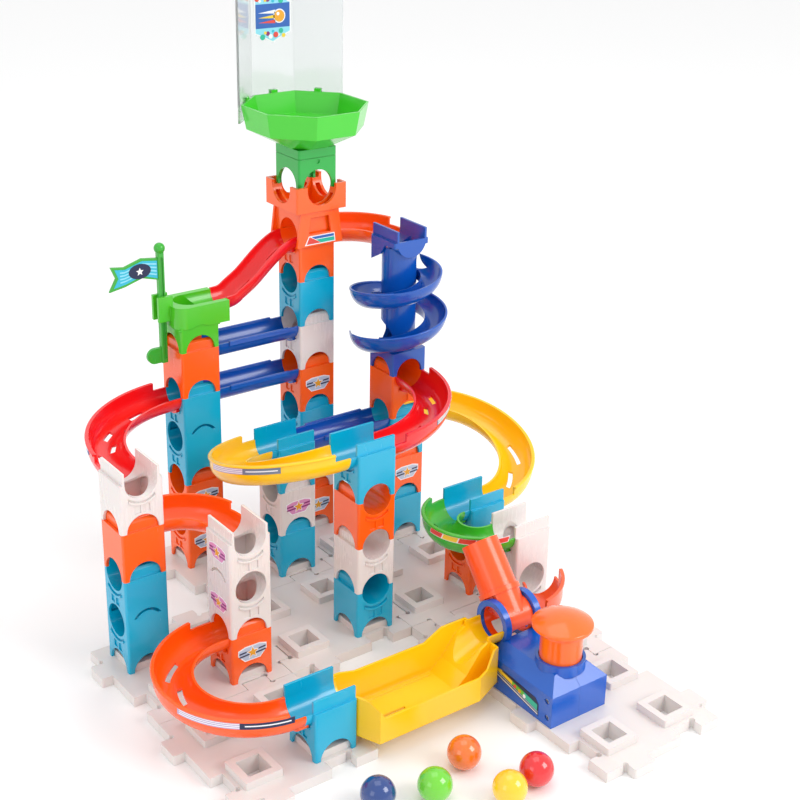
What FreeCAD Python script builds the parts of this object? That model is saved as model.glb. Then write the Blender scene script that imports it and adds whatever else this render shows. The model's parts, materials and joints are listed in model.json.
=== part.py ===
"""Marble run: stacked trough blocks on jigsaw base plates, joined by open tracks.

Everything stands on a square grid.  Blocks stack in whole levels, every marble trough has
its axis at a level height, and each track runs from one block face to another.
Millimetres, +Z up, base plate undersides at Z = 0.
"""
import FreeCAD, Part
import math
import os

V = FreeCAD.Vector
X_AXIS, Y_AXIS, Z_AXIS = V(1, 0, 0), V(0, 1, 0), V(0, 0, 1)

# ---------------------------------------------------------------- driving dimensions
BLOCK = 30.0            # side of a square block
LEVEL = 34.0            # height of one block, foot to shoulder
PITCH = 48.6            # grid spacing of the base plate cells
WALL = 1.9              # block wall
DECK = 1.8              # thickness of a block's shoulder
MARBLE_D = 21.0         # marble diameter
MARBLE_PLAY = 0.7       # gap between a resting marble and the side of its trough
FIT = 0.2               # gap between a neck and the block that sits over it
NECK_RISE = 8.2         # how far a neck stands above the shoulder
NECK_CHAMFER = 2.6      # slope at the ends of a neck wall
CORNER_R = 1.6          # rounding of a block's upright edges
TROUGH_WALL = 1.5       # wall of a trough inside a block, and of every track
LIP_REACH = 4.6         # how far a connector's trough sticks out past its block
PLATE_T = 7.0           # base plate thickness
PLATE_GAP = 0.3         # gap between neighbouring base plates
TAB_REACH = 8.0         # jigsaw tab length
TAB_WIDTH = 17.0        # jigsaw tab width
TAB_PLACE = 0.49        # tab centre from the plate's middle, as a share of half its side
FRAME_RISE = 5.0        # height of a plate's raised locating frame
FRAME_HOLE = 15.6       # square hole inside a locating frame
RIM_RISE = 5.5          # extra height of a track's outer wall
RIM_START = 9.0         # distance from a track's end to where its outer wall rises
END_REACH = 8.2         # how far the green end piece sticks out towards the slide
SLOT_WIDTH = 3.2        # slots in a track floor
HOOK_R0, HOOK_R1 = 2.0, 3.2     # radii of a mouth's hook slot, beyond the trough's own
HOOK_DEPTH = 1.0        # how deep a track's hook reaches into a block
HOOK_LIP = 1.4          # height of the lip under a hook slot
HOOK_PROUD = 0.7        # how far that lip stands out of the block's face
TRAY_RISE = 7.0         # tray underside above the plates
TRAY_FRONT_H = 24.0     # tray walls, above the plates
TRAY_BACK_H = 31.0
TRAY_PEAK_H = 38.0
SPIRAL_COLUMN_R = 12.8  # column of the spiral tower
SPIRAL_TURNS = 1.62     # how far the spiral channel winds
SPIRAL_CLEAR = 2.0      # channel's inner edge, out from the column
CROWN_HALF = 21.0       # half side of the crown that the funnel's stem plugs into
CROWN_SEAT = 8.0        # level the funnel's stem stands on
STEM_HALF = 15.8        # half side of the funnel's stem
BOWL_BASE = 0.86        # stem height below the bowl, in levels
BOWL_R = 45.5           # funnel bowl, centre to corner
BOWL_WALL = 1.8
BOWL_WALL_H = 17.0      # height of the bowl's steep wall
BOWL_CONE_H = 12.0      # height of the bowl's sloping floor
BOARD_RISE = 88.0       # backboard height above the bowl's rim
BOARD_T = 1.5
BOARD_GAP = 0.6         # backboard clearance outside the bowl's rim
LAUNCH_RISE = 3.5       # launcher cross tube axis above the first level
LAUNCH_W = 46.0         # launcher housing width
LAUNCH_L = 59.0         # launcher housing length
LAUNCH_SIDE_H = 22.0    # height of its upright sides
LAUNCH_TOP_H = 31.0     # height of its flat top
LAUNCH_SLOPE = 9.0      # how far the shoulders slope in
SHELL = 2.0             # launcher housing wall
COLLAR_RISE = 4.5       # button collar above the housing's top
RING_T = 4.6            # thickness of the rings that hold the launch tube
RING_WALL = 4.0         # how far those rings reach beyond the trough's radius
HUB_WALL = 1.4          # wall of the launch tube's hub
TRUNNION_WALL = 0.9     # wall of the trunnions on the hub's ends
HUB_PLAY = 0.4          # gap between the hub's ends and the rings
STEM_FOOT = 20.8        # foot of the button's stem, above the plates
HAMMER_Y, HAMMER_Z = -20.0, 20.0    # hammer's pivot, from the cross tube's cell
BUTTON_R = 13.6
BUTTON_CAP_R = 19.6
BUTTON_PLAY = 0.4       # radial gap between the button and its collar
BUTTON_TOP = 65.0       # button dome above the plates
BARREL_ANGLE = 50.0     # launch tube, above the horizontal
BARREL_REACH = 52.0     # launch tube mouth, from the cross tube's axis
BARREL_WALL = 1.3
FLAG_GAP = 6.0          # flag pole, out from the tower's face
POLE_T = 4.6            # flag pole thickness
PIN_R = 1.5
PIN_PLAY = 0.06         # radial running clearance of a pin in its hole

# ---------------------------------------------------------------- what follows from them
TROUGH_R = MARBLE_D / 2 + MARBLE_PLAY
NECK_HALF = BLOCK / 2 - WALL - FIT
FRAME_HALF = NECK_HALF - 0.2
CHANNEL_R = TROUGH_R + TROUGH_WALL
HALF = BLOCK / 2
DROP_R = TROUGH_R - 0.1
TUBE_Z = LEVEL + LAUNCH_RISE
TUBE_OUT_R = TROUGH_R + RING_WALL
HUB_R = TROUGH_R + HUB_WALL
HUB_HALF = HALF - RING_T - HUB_PLAY
TRUNNION_R = TROUGH_R + TRUNNION_WALL
BODY_FRONT = -1.43 * PITCH
BODY_BACK = BODY_FRONT + LAUNCH_L
BUTTON_Y = -1.03 * PITCH
COLLAR_TOP = LAUNCH_TOP_H + COLLAR_RISE
CAVITY_FLOOR = FRAME_RISE + 0.5 + SHELL
SCREW_SPOTS = [(BODY_FRONT + 5.0, 17.5), (BODY_FRONT + 4.2, 6.0), (BODY_BACK - 6.0, 6.0)]

SIDES = {"+x": 0, "+y": 90, "-x": 180, "-y": 270}
GRID_CENTRE = (2.5, -0.5)    # grid coordinates of the frame's origin


# ---------------------------------------------------------------- small helpers
def cell(i, j):
    """Centre of a grid cell, on the underside plane."""
    return V((i - GRID_CENTRE[0]) * PITCH, (j - GRID_CENTRE[1]) * PITCH, 0)


def level(k):
    """Height of level k above the plates' undersides."""
    return PLATE_T + k * LEVEL


def box(x0, x1, y0, y1, z0, z1):
    return Part.makeBox(x1 - x0, y1 - y0, z1 - z0, V(x0, y0, z0))


def square(half, z0, z1):
    return box(-half, half, -half, half, z0, z1)


def rounded_square(half, z0, z1, radius):
    return fillet_upright(square(half, z0, z1), radius)


def fillet_upright(solid, radius):
    upright = [e for e in solid.Edges if is_upright(e)]
    return solid.makeFillet(radius, upright)


def is_upright(edge):
    a, b = edge.firstVertex().Point, edge.lastVertex().Point
    return abs(a.x - b.x) < 1e-6 and abs(a.y - b.y) < 1e-6 and abs(a.z - b.z) > 1e-6


def rod(radius, start, direction, length):
    return Part.makeCylinder(radius, length, start, direction)


def cross_rod(radius, axis, z, start, end):
    """Horizontal cylinder along axis "x" or "y" through the middle, from start to end."""
    if axis == "x":
        return rod(radius, V(start, 0, z), X_AXIS, end - start)
    return rod(radius, V(0, start, z), Y_AXIS, end - start)


def turn(shape, degrees, centre=V(0, 0, 0), axis=Z_AXIS):
    turned = shape.copy()
    turned.rotate(centre, axis, degrees)
    return turned


def moved(shape, offset):
    shifted = shape.copy()
    shifted.translate(offset)
    return shifted


def fuse(shapes):
    first, rest = shapes[0], list(shapes[1:])
    return first.fuse(rest).removeSplitter() if rest else first


def polygon_prism(points, z0, z1):
    """Upright prism on a plan outline."""
    face = Part.Face(Part.makePolygon([V(x, y, z0) for x, y in points + points[:1]]))
    return face.extrude(V(0, 0, z1 - z0))


def side_prism(points, y0, y1):
    """Prism along Y on an outline of (x, z) points."""
    face = Part.Face(Part.makePolygon([V(x, y0, z) for x, z in points + points[:1]]))
    return face.extrude(V(0, y1 - y0, 0))


# ---------------------------------------------------------------- base plates
def plate():
    """One 2 by 2 base plate about its middle, with jigsaw edges and locating frames."""
    half = PITCH - PLATE_GAP / 2
    body = square(half, 0, PLATE_T)
    tab_at = TAB_PLACE * PITCH
    slack = PLATE_GAP
    for angle in SIDES.values():
        socket = box(tab_at - TAB_WIDTH / 2 - slack, tab_at + TAB_WIDTH / 2 + slack,
                     -half - 1, -half + TAB_REACH + slack, -1, PLATE_T + 1)
        relief = rod(2.0, V(tab_at + TAB_WIDTH / 2, -half + TAB_REACH, -1), Z_AXIS, PLATE_T + 2)
        body = body.cut([turn(socket, angle), turn(relief, angle)])
    for angle in SIDES.values():
        tab = fillet_upright(box(-tab_at - TAB_WIDTH / 2, -tab_at + TAB_WIDTH / 2,
                                 -half - TAB_REACH + slack, -half + 4, 0, PLATE_T), 1.5)
        notch = rod(1.8, V(-tab_at - TAB_WIDTH / 2 - 1.0, -half, -1), Z_AXIS, PLATE_T + 2)
        body = body.fuse(turn(tab, angle)).cut(turn(notch, angle))
    frames, holes = [], []
    for i in (-0.5, 0.5):
        for j in (-0.5, 0.5):
            at = V(i * PITCH, j * PITCH, 0)
            frames.append(moved(rounded_square(FRAME_HALF, 0, PLATE_T + FRAME_RISE, 1.0), at))
            holes.append(moved(square(FRAME_HOLE / 2, -1, PLATE_T + FRAME_RISE + 1), at))
    return body.fuse(frames).cut(holes).removeSplitter()


PLATE_CELLS = [(0, -1), (0, -3), (2, -1), (4, -1), (2, 1), (4, 1), (4, -3), (4, -5)]


def base_plates():
    half_cell = V(PITCH / 2, PITCH / 2, 0)
    tile = plate()
    return Part.makeCompound([moved(tile, cell(i, j) + half_cell) for i, j in PLATE_CELLS])


# ---------------------------------------------------------------- blocks
def smile_band(inner, outer, depth0, depth1, reach):
    """Lower part of a tube about the X axis; reach is its half width over the trough's."""
    band = cross_rod(outer, "x", 0, depth0, depth1).cut(cross_rod(inner, "x", 0, depth0, depth1))
    half = TROUGH_R * reach
    return band.common(box(depth0, depth1, -half, half, -outer - 1, -TROUGH_R * 0.55))


def hook_slot(angle):
    """Curved slot and lip under a trough's mouth, where a track's hook sits; slot, lip."""
    def smile(inner, outer, depth0, depth1):
        return moved(smile_band(inner, outer, depth0, depth1, 0.82), V(0, 0, LEVEL))
    slot = smile(TROUGH_R + HOOK_R0, TROUGH_R + HOOK_R1, HALF - HOOK_DEPTH, HALF + 0.5)
    lip = smile(TROUGH_R + HOOK_R1, TROUGH_R + HOOK_R1 + HOOK_LIP, HALF - 0.6, HALF + HOOK_PROUD)
    return turn(slot, angle), turn(lip, angle)


def panel(angle):
    """Shallow recess with a middle rib on the face below a trough's mouth."""
    recess = box(HALF - 0.8, HALF + 1, -5.5, 5.5, LEVEL * 0.365, LEVEL * 0.53)
    rib = box(HALF - 1.2, HALF + 1, -0.9, 0.9, 0, LEVEL)
    return turn(recess.cut(rib), angle)


def neck(axis, mouths, full_length):
    """Ring that stands on the shoulder, open where the trough leaves."""
    reach = HALF if full_length else NECK_HALF
    ring = square(NECK_HALF, LEVEL - 0.2, LEVEL + NECK_RISE)
    if full_length:
        along = (reach, NECK_HALF) if axis == "x" else (NECK_HALF, reach)
        ring = box(-along[0], along[0], -along[1], along[1], LEVEL - 0.2, LEVEL + NECK_RISE)
    ring = ring.cut(square(TROUGH_R, LEVEL - 1, LEVEL + NECK_RISE + 1))
    for side in mouths:
        mouth = box(0, HALF + 1, -TROUGH_R, TROUGH_R, LEVEL - 1, LEVEL + NECK_RISE + 1)
        ring = ring.cut(turn(mouth, SIDES[side]))
    if full_length:
        return ring
    low, top, n = LEVEL - 1, LEVEL + NECK_RISE, NECK_HALF
    outline = [(-n, low), (n, low), (n, top - NECK_CHAMFER), (n - NECK_CHAMFER, top),
               (NECK_CHAMFER - n, top), (-n, top - NECK_CHAMFER)]
    profile = side_prism(outline, -n, n)
    return ring.common(profile).common(turn(profile, 90))


def storey(axis, mouths, drop=False, full_neck=False, has_neck=True, lips=()):
    """One level of a block: feet at 0, shoulder at LEVEL, trough along axis."""
    shell = rounded_square(HALF, 0, LEVEL, CORNER_R)
    shell = shell.cut(square(HALF - WALL, -1, LEVEL - DECK))
    trough = cross_rod(CHANNEL_R, axis, LEVEL, -HALF, HALF)
    trough = trough.common(rounded_square(HALF, 0, LEVEL, CORNER_R))
    shell = shell.fuse(trough)
    arches = [cross_rod(TROUGH_R, a, 0, -HALF - 1, HALF + 1) for a in ("x", "y")]
    cuts = arches
    for side in ("+" + axis, "-" + axis):
        inside = HALF - WALL if side not in mouths else HALF + 1
        cuts.append(turn(cross_rod(TROUGH_R, "x", LEVEL, 0, inside), SIDES[side]))
    if drop:
        cuts.append(rod(DROP_R, V(0, 0, LEVEL - CHANNEL_R - 1), Z_AXIS, CHANNEL_R + 2))
    shell = shell.cut(cuts)
    extra = []
    if has_neck:
        extra.append(neck(axis, mouths, full_neck))
    for side in mouths:
        slot, lip = hook_slot(SIDES[side])
        shell = shell.cut([slot, panel(SIDES[side])])
        extra.append(lip)
    for side in lips:
        extra.append(turn(trough_lip(), SIDES[side]))
    return fuse([shell] + extra)


def trough_lip():
    """Half-pipe that carries a connector's trough out past its face, towards +X."""
    pipe = cross_rod(CHANNEL_R, "x", LEVEL, HALF - 0.5, HALF + LIP_REACH)
    pipe = pipe.cut(cross_rod(TROUGH_R, "x", LEVEL, HALF - 1, HALF + LIP_REACH + 1))
    pipe = pipe.common(box(0, HALF + LIP_REACH, -HALF, HALF, 0, LEVEL))
    wall = box(HALF - 0.5, HALF + LIP_REACH, -NECK_HALF, -TROUGH_R, LEVEL, LEVEL + NECK_RISE)
    return pipe.fuse(wall)


def arch_plug(angle):
    """Fills a double block's middle arch on a closed side, leaving a crescent slit."""
    plug = cross_rod(TROUGH_R + 0.2, "x", 0, HALF - WALL, HALF)
    slit = cross_rod(TROUGH_R, "x", 0, HALF - WALL - 1, HALF + 1)
    slit = slit.cut(cross_rod(TROUGH_R - 1.9, "x", 0, HALF - WALL - 1, HALF + 1))
    slit = slit.common(box(0, HALF + 1, -HALF, HALF, 5.6, LEVEL))
    return turn(plug.cut(slit).common(box(0, HALF, -HALF, HALF, 0, LEVEL)), angle)


def block(storeys):
    """One moulded block of one or more levels; each entry holds storey() arguments."""
    parts = []
    for k, options in enumerate(storeys):
        is_top = k == len(storeys) - 1
        body = storey(**dict(options, has_neck=is_top and options.get("has_neck", True)))
        parts.append(moved(body, V(0, 0, k * LEVEL)))
        if not is_top:
            closed = [s for s in SIDES if s not in options["mouths"]]
            parts += [moved(arch_plug(SIDES[s]), V(0, 0, (k + 1) * LEVEL)) for s in closed]
    return fuse(parts)


def along(axis, **extra):
    """Options of a storey whose trough runs right through along axis."""
    return dict(axis=axis, mouths=("+" + axis, "-" + axis), **extra)


def leaving(side, **extra):
    """Options of a storey whose trough leaves on one side only."""
    return dict(axis=side[1], mouths=(side,), **extra)


def drop_top(axis):
    return along(axis, drop=True, full_neck=True)


def connector(*lips):
    return along("x", full_neck=True, lips=lips)


# Each tower: grid cell, then (node, first level, its storeys) from the bottom up.
TOWERS = {
    "a": ((0, 0), [
        ("tower_a_teal_double", 0, [leaving("-x"), leaving("-x")]),
        ("tower_a_orange_exit", 2, [leaving("+x")]),
        ("tower_a_white_drop_top", 3, [drop_top("y")])]),
    "b": ((1, -1), [
        ("tower_b_orange_exit", 0, [leaving("-x")]),
        ("tower_b_white_double", 1, [along("y", drop=True), drop_top("y")])]),
    "c": ((1, -3), [
        ("tower_c_teal_connector", 0, [connector("-x")])]),
    "d": ((3, -1), [
        ("tower_d_white_block", 1, [along("y")]),
        ("tower_d_orange_block", 2, [along("y")]),
        ("tower_d_teal_connector", 3, [connector("-x")])]),
    "e": ((3, 1), [
        ("tower_e_white_block", 1, [leaving("-x")]),
        ("tower_e_teal_connector", 2, [connector("-x")])]),
    "f": ((5, 1), [
        ("tower_f_orange_block", 1, [leaving("-x")]),
        ("tower_f_teal_block", 2, [along("x")]),
        ("tower_f_orange_exit", 3, [leaving("-y")])]),
    "g": ((2, 2), [
        ("tower_g_teal_double", 2, [leaving("-x"), along("x", drop=False)]),
        ("tower_g_orange_exit", 4, [leaving("+x")])]),
    "h": ((4, 2), [
        ("tower_h_orange_base", 0, [leaving("-x")]),
        ("tower_h_white_base", 1, [leaving("-x")]),
        ("tower_h_teal_block", 2, [leaving("-x")]),
        ("tower_h_orange_exit", 3, [leaving("-x")]),
        ("tower_h_white_block", 4, [leaving("-x", drop=True)]),
        ("tower_h_teal_top", 5, [leaving("-x")])]),
    "i": ((5, -1), [
        ("tower_i_orange_block", 0, [leaving("-x")]),
        ("tower_i_teal_connector", 1, [connector("-x")])]),
    "j": ((5, -2), [
        ("tower_j_white_double", 0, [leaving("-y"), drop_top("x")])]),
}


# Repeated blocks kept together: name, then (grid cell, level, turn) of each copy.
REPEATED_BLOCKS = {
    "teal_base_blocks": [((3, -1), 0, 90), ((3, 1), 0, 0), ((5, 1), 0, 0)],
    "tower_g_orange_blocks": [((2, 2), 0, 0), ((2, 2), 1, 0)],
}


def tower_nodes():
    nodes = {}
    for name, places in REPEATED_BLOCKS.items():
        one = block([leaving("-x")])
        copies = [moved(turn(one, angle), cell(*place) + V(0, 0, level(first)))
                  for place, first, angle in places]
        nodes[name] = Part.makeCompound(copies)
    for place, pieces in TOWERS.values():
        for name, first, storeys in pieces:
            nodes[name] = moved(block(storeys), cell(*place) + V(0, 0, level(first)))
    return nodes


# ---------------------------------------------------------------- tracks
def channel_outline(at, side, up, left_rise, right_rise, inner=TROUGH_R, wall=TROUGH_WALL):
    """Closed wire of a half-pipe section; rises lift its left and right walls."""
    def point(u, v):
        return at + side * u + up * v
    outer = inner + wall
    edges = [Part.Arc(point(inner, right_rise * 0), point(0, -inner), point(-inner, 0)).toShape()]
    if left_rise:
        edges += [Part.makeLine(point(-inner, 0), point(-inner, left_rise)),
                  Part.makeLine(point(-inner, left_rise), point(-outer, left_rise)),
                  Part.makeLine(point(-outer, left_rise), point(-outer, 0))]
    else:
        edges.append(Part.makeLine(point(-inner, 0), point(-outer, 0)))
    edges.append(Part.Arc(point(-outer, 0), point(0, -outer), point(outer, 0)).toShape())
    if right_rise:
        edges += [Part.makeLine(point(outer, 0), point(outer, right_rise)),
                  Part.makeLine(point(outer, right_rise), point(inner, right_rise)),
                  Part.makeLine(point(inner, right_rise), point(inner, 0))]
    else:
        edges.append(Part.makeLine(point(outer, 0), point(inner, 0)))
    return Part.Wire(Part.__sortEdges__(edges))


def wall_outline(at, side, up, rise, inner=TROUGH_R, wall=TROUGH_WALL):
    """Closed wire of a raised outer wall with a rolled bead along its top."""
    def point(u, v):
        return at + side * u + up * v
    outer, bead = inner + wall, 0.7
    corners = [(inner, -0.5), (outer, -0.5), (outer, rise - 1.4), (outer + bead, rise - 1.4),
               (outer + bead, rise), (inner, rise)]
    return Part.makePolygon([point(u, v) for u, v in corners + corners[:1]])


def sweep(path, binormal, outline):
    pipe = Part.BRepOffsetAPI.MakePipeShell(path)
    pipe.setBiNormalMode(binormal)
    pipe.add(outline, False, False)
    pipe.build()
    pipe.makeSolid()
    return pipe.shape()


def spline_wire(points, start=None, end=None):
    """Smooth wire through points, with tangents at its ends where they are given."""
    curve = Part.BSplineCurve()
    if start is not None:
        curve.interpolate(Points=points, InitialTangent=start, FinalTangent=end)
    else:
        curve.interpolate(points)
    return Part.Wire([curve.toShape()])


def arc_band(centre, radius, width, from_deg, to_deg, z0, z1):
    """Upright block between two radii and two angles, with square ends."""
    corners = []
    for r in (radius - width / 2, radius + width / 2):
        angles = [from_deg, (from_deg + to_deg) / 2, to_deg]
        corners.append([centre + V(r * math.cos(math.radians(a)), r * math.sin(math.radians(a)), z0)
                        for a in angles])
    inner, outer = corners
    wire = Part.Wire([Part.Arc(*inner).toShape(), Part.makeLine(inner[2], outer[2]),
                      Part.Arc(*outer[::-1]).toShape(), Part.makeLine(outer[0], inner[0])])
    return Part.Face(wire).extrude(V(0, 0, z1 - z0))


def curved_track(centre, radius, start_deg, sweep_deg, z, drop=0.0, straight=(0.0, 0.0), slots=3):
    """Half-pipe round part of a circle, its axis at height z, falling by drop on the way.

    straight adds level run-outs at its start and end.
    """
    def place(angle):
        a = math.radians(angle)
        return centre + V(radius * math.cos(a), radius * math.sin(a), 0)

    def radial(angle):
        return V(math.cos(math.radians(angle)), math.sin(math.radians(angle)), 0)

    def height(share):
        ease = share * share * (3 - 2 * share)
        return z - drop * ease

    end_deg = start_deg + sweep_deg
    rim_deg = math.degrees(RIM_START / radius) * (1 if sweep_deg > 0 else -1)
    if drop:
        steps = 24
        def path(share0, share1):
            points = []
            for n in range(steps + 1):
                share = share0 + (share1 - share0) * n / steps
                points.append(place(start_deg + sweep_deg * share) + V(0, 0, height(share)))
            return spline_wire(points)
        first = rim_deg / sweep_deg
        body = sweep(path(0, 1), Z_AXIS, channel_outline(
            place(start_deg) + V(0, 0, z), radial(start_deg), Z_AXIS, 0, 0))
        at = start_deg + rim_deg
        rim = sweep(path(first, 1 - first), Z_AXIS, wall_outline(
            place(at) + V(0, 0, height(first)), radial(at), Z_AXIS, RIM_RISE))
    else:
        spin_axis, spin_at = (Z_AXIS, centre)
        outline = channel_outline(place(start_deg) + V(0, 0, z), radial(start_deg), Z_AXIS, 0, 0)
        body = Part.Face(outline).revolve(spin_at, spin_axis, sweep_deg)
        at = start_deg + rim_deg
        outline = wall_outline(place(at) + V(0, 0, z), radial(at), Z_AXIS, RIM_RISE)
        rim = Part.Face(outline).revolve(spin_at, spin_axis, sweep_deg - 2 * rim_deg)
    pieces = [body, rim]
    for length, angle, forward, end_z in ((straight[0], start_deg, -1, z),
                                          (straight[1], end_deg, 1, z - drop)):
        if length:
            heading = V(-math.sin(math.radians(angle)), math.cos(math.radians(angle)), 0)
            heading = heading * (forward if sweep_deg > 0 else -forward)
            outline = channel_outline(place(angle) + V(0, 0, end_z), radial(angle), Z_AXIS, 0, 0)
            pieces.append(Part.Face(outline).extrude(heading * length))
    cuts = []
    margin = 0.16
    for n in range(slots):
        share = (1 - 2 * margin) / slots
        a = start_deg + sweep_deg * (margin + share * (n + 0.14))
        b = start_deg + sweep_deg * (margin + share * (n + 0.86))
        offset = 4.2 if n % 2 == 0 else -3.6
        low = min(z, z - drop) - CHANNEL_R - 2
        cuts.append(arc_band(centre, radius + offset, SLOT_WIDTH, a, b, low, max(z, z - drop)))
    return fuse(pieces).cut(cuts)


def straight_track(start, end, slots=2):
    """Level half-pipe along X between two points."""
    outline = channel_outline(start, Y_AXIS, Z_AXIS, 0, 0)
    body = Part.Face(outline).extrude(end - start)
    length = end.x - start.x
    rims = []
    for side in (-1, 1):
        y = side * (CHANNEL_R + 0.2)
        rims.append(box(start.x + RIM_START, end.x - RIM_START, start.y + y - 0.9,
                        start.y + y + 0.9, start.z - 2.6, start.z + 0.9))
    channel = rod(TROUGH_R, start, X_AXIS, length)
    body = body.fuse([r.cut(channel) for r in rims])
    cuts = []
    for n in range(slots):
        a = start.x + length * (0.2 + 0.33 * n)
        cuts.append(box(a, a + length * 0.26, start.y - SLOT_WIDTH / 2, start.y + SLOT_WIDTH / 2,
                        start.z - CHANNEL_R - 2, start.z))
    return body.cut(cuts).removeSplitter()


def slide_track(start, end):
    """Half-pipe along X that dips from start to end in a smooth S."""
    span = end - start
    points = []
    for n in range(7):
        t = n / 6
        points.append(start + V(span.x * t, 0, span.z * t * t * (3 - 2 * t)))
    heading = V(math.copysign(1, span.x), 0, 0)
    path = spline_wire(points, heading, heading)
    body = sweep(path, Y_AXIS, channel_outline(start, Y_AXIS, Z_AXIS, 0, 0))
    cuts = []
    for n, offset in enumerate((3.4, -3.4, 3.4, -3.4)):
        a = start.x + span.x * (0.12 + 0.2 * n)
        b = a + span.x * 0.15
        cuts.append(box(min(a, b), max(a, b), start.y + offset - SLOT_WIDTH / 2,
                        start.y + offset + SLOT_WIDTH / 2, end.z - 2 * CHANNEL_R, start.z - 3))
    return body.cut(cuts)


def hook(at, angle):
    """Hook under a track's end that hangs in the block's slot; angle points into the block."""
    web = smile_band(CHANNEL_R - 0.2, TROUGH_R + HOOK_R1, -2.4, 0, 0.7)
    claw = smile_band(TROUGH_R + HOOK_R0 + FIT, TROUGH_R + HOOK_R1, -1, HOOK_DEPTH - FIT, 0.7)
    return moved(turn(web.fuse(claw), angle), at)


def tongue(at, angle):
    """Thin tongue under a track's end that carries a connector's lip."""
    root = smile_band(CHANNEL_R - 0.2, CHANNEL_R + 1.2, -3.5, 0, 0.85)
    reach = smile_band(CHANNEL_R, CHANNEL_R + 1.2, -1, 3.2, 0.85)
    return moved(turn(root.fuse(reach), angle), at)


def face_point(i, j, side, k, out=0.0):
    """Point on a tower face, on the axis of the trough at level k."""
    angle = math.radians(SIDES[side])
    reach = HALF + out
    return cell(i, j) + V(reach * math.cos(angle), reach * math.sin(angle), level(k))


def track_nodes():
    quarter = PITCH - HALF
    big = 2 * PITCH - HALF
    nodes = {}

    slide = slide_track(face_point(4, 2, "-x", 7), face_point(2, 2, "+x", 6, END_REACH))
    nodes["track_red_slide"] = fuse([slide, hook(face_point(4, 2, "-x", 7), 0)])

    turn_in = curved_track(cell(5, 1) + V(-quarter, HALF, 0), quarter, 90, -90, level(7))
    nodes["track_orange_upper_curve"] = fuse([turn_in, hook(face_point(4, 2, "+x", 7), 180),
                                              hook(face_point(5, 1, "+y", 7), -90)])

    straights = []
    for i, j, k in ((2, 2, 5), (2, 2, 4), (3, 1, 3)):
        start, end = face_point(i, j, "+x", k), face_point(i + 2, j, "-x", k)
        straights.append(fuse([straight_track(start, end), hook(start, 180), hook(end, 0)]))
    nodes["tracks_blue_straight"] = Part.makeCompound(straights)

    sweep_left = curved_track(cell(0, 0) + V(big, HALF, 0), big, 90, 90, level(4), slots=5)
    nodes["track_red_left_curve"] = fuse([sweep_left, hook(face_point(2, 2, "-x", 4), 0),
                                          hook(face_point(0, 0, "+y", 4), -90)])

    sweep_front = curved_track(cell(3, -1) + V(HALF, big, 0), big, 0, -90, level(4), slots=5)
    nodes["track_red_front_curve"] = fuse([sweep_front, hook(face_point(5, 1, "-y", 4), 90),
                                           hook(face_point(3, -1, "+x", 4), 180)])

    lower = curved_track(cell(1, -1) + V(-quarter, HALF, 0), quarter, 90, -90, level(3))
    nodes["track_orange_lower_curve"] = fuse([lower, hook(face_point(0, 0, "+x", 3), 180),
                                              hook(face_point(1, -1, "+y", 3), -90)])

    bend = curved_track(cell(1, -2) + V(-HALF - LIP_REACH, 0, 0), PITCH, 90, 180, level(1),
                        straight=(LIP_REACH, 0), slots=4)
    nodes["track_orange_return"] = fuse([bend, hook(face_point(1, -1, "-x", 1), 0),
                                         tongue(face_point(1, -3, "-x", 1, LIP_REACH), 0)])

    bend = curved_track(cell(3, 0) + V(-HALF - LIP_REACH, 0, 0), PITCH, 270, -180, level(4),
                        drop=LEVEL, slots=4)
    nodes["track_yellow_left_return"] = fuse([bend, tongue(face_point(3, -1, "-x", 4, LIP_REACH), 0),
                                              tongue(face_point(3, 1, "-x", 3, LIP_REACH), 0)])

    bend = curved_track(cell(5, 0) + V(HALF, 0, 0), PITCH, 90, -180, level(3), drop=LEVEL, slots=4)
    nodes["track_yellow_right_return"] = fuse([bend, hook(face_point(5, 1, "+x", 3), 180),
                                               hook(face_point(5, -1, "+x", 2), 180)])

    bend = curved_track(cell(5, -1.5) + V(-HALF - LIP_REACH, 0, 0), PITCH / 2, 90, 180, level(2),
                        straight=(0, LIP_REACH), slots=3)
    nodes["track_green_return"] = fuse([bend, tongue(face_point(5, -1, "-x", 2, LIP_REACH), 0),
                                        hook(face_point(5, -2, "-x", 2), 0)])
    nodes["tray_yellow"] = collecting_tray()
    return nodes


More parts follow.
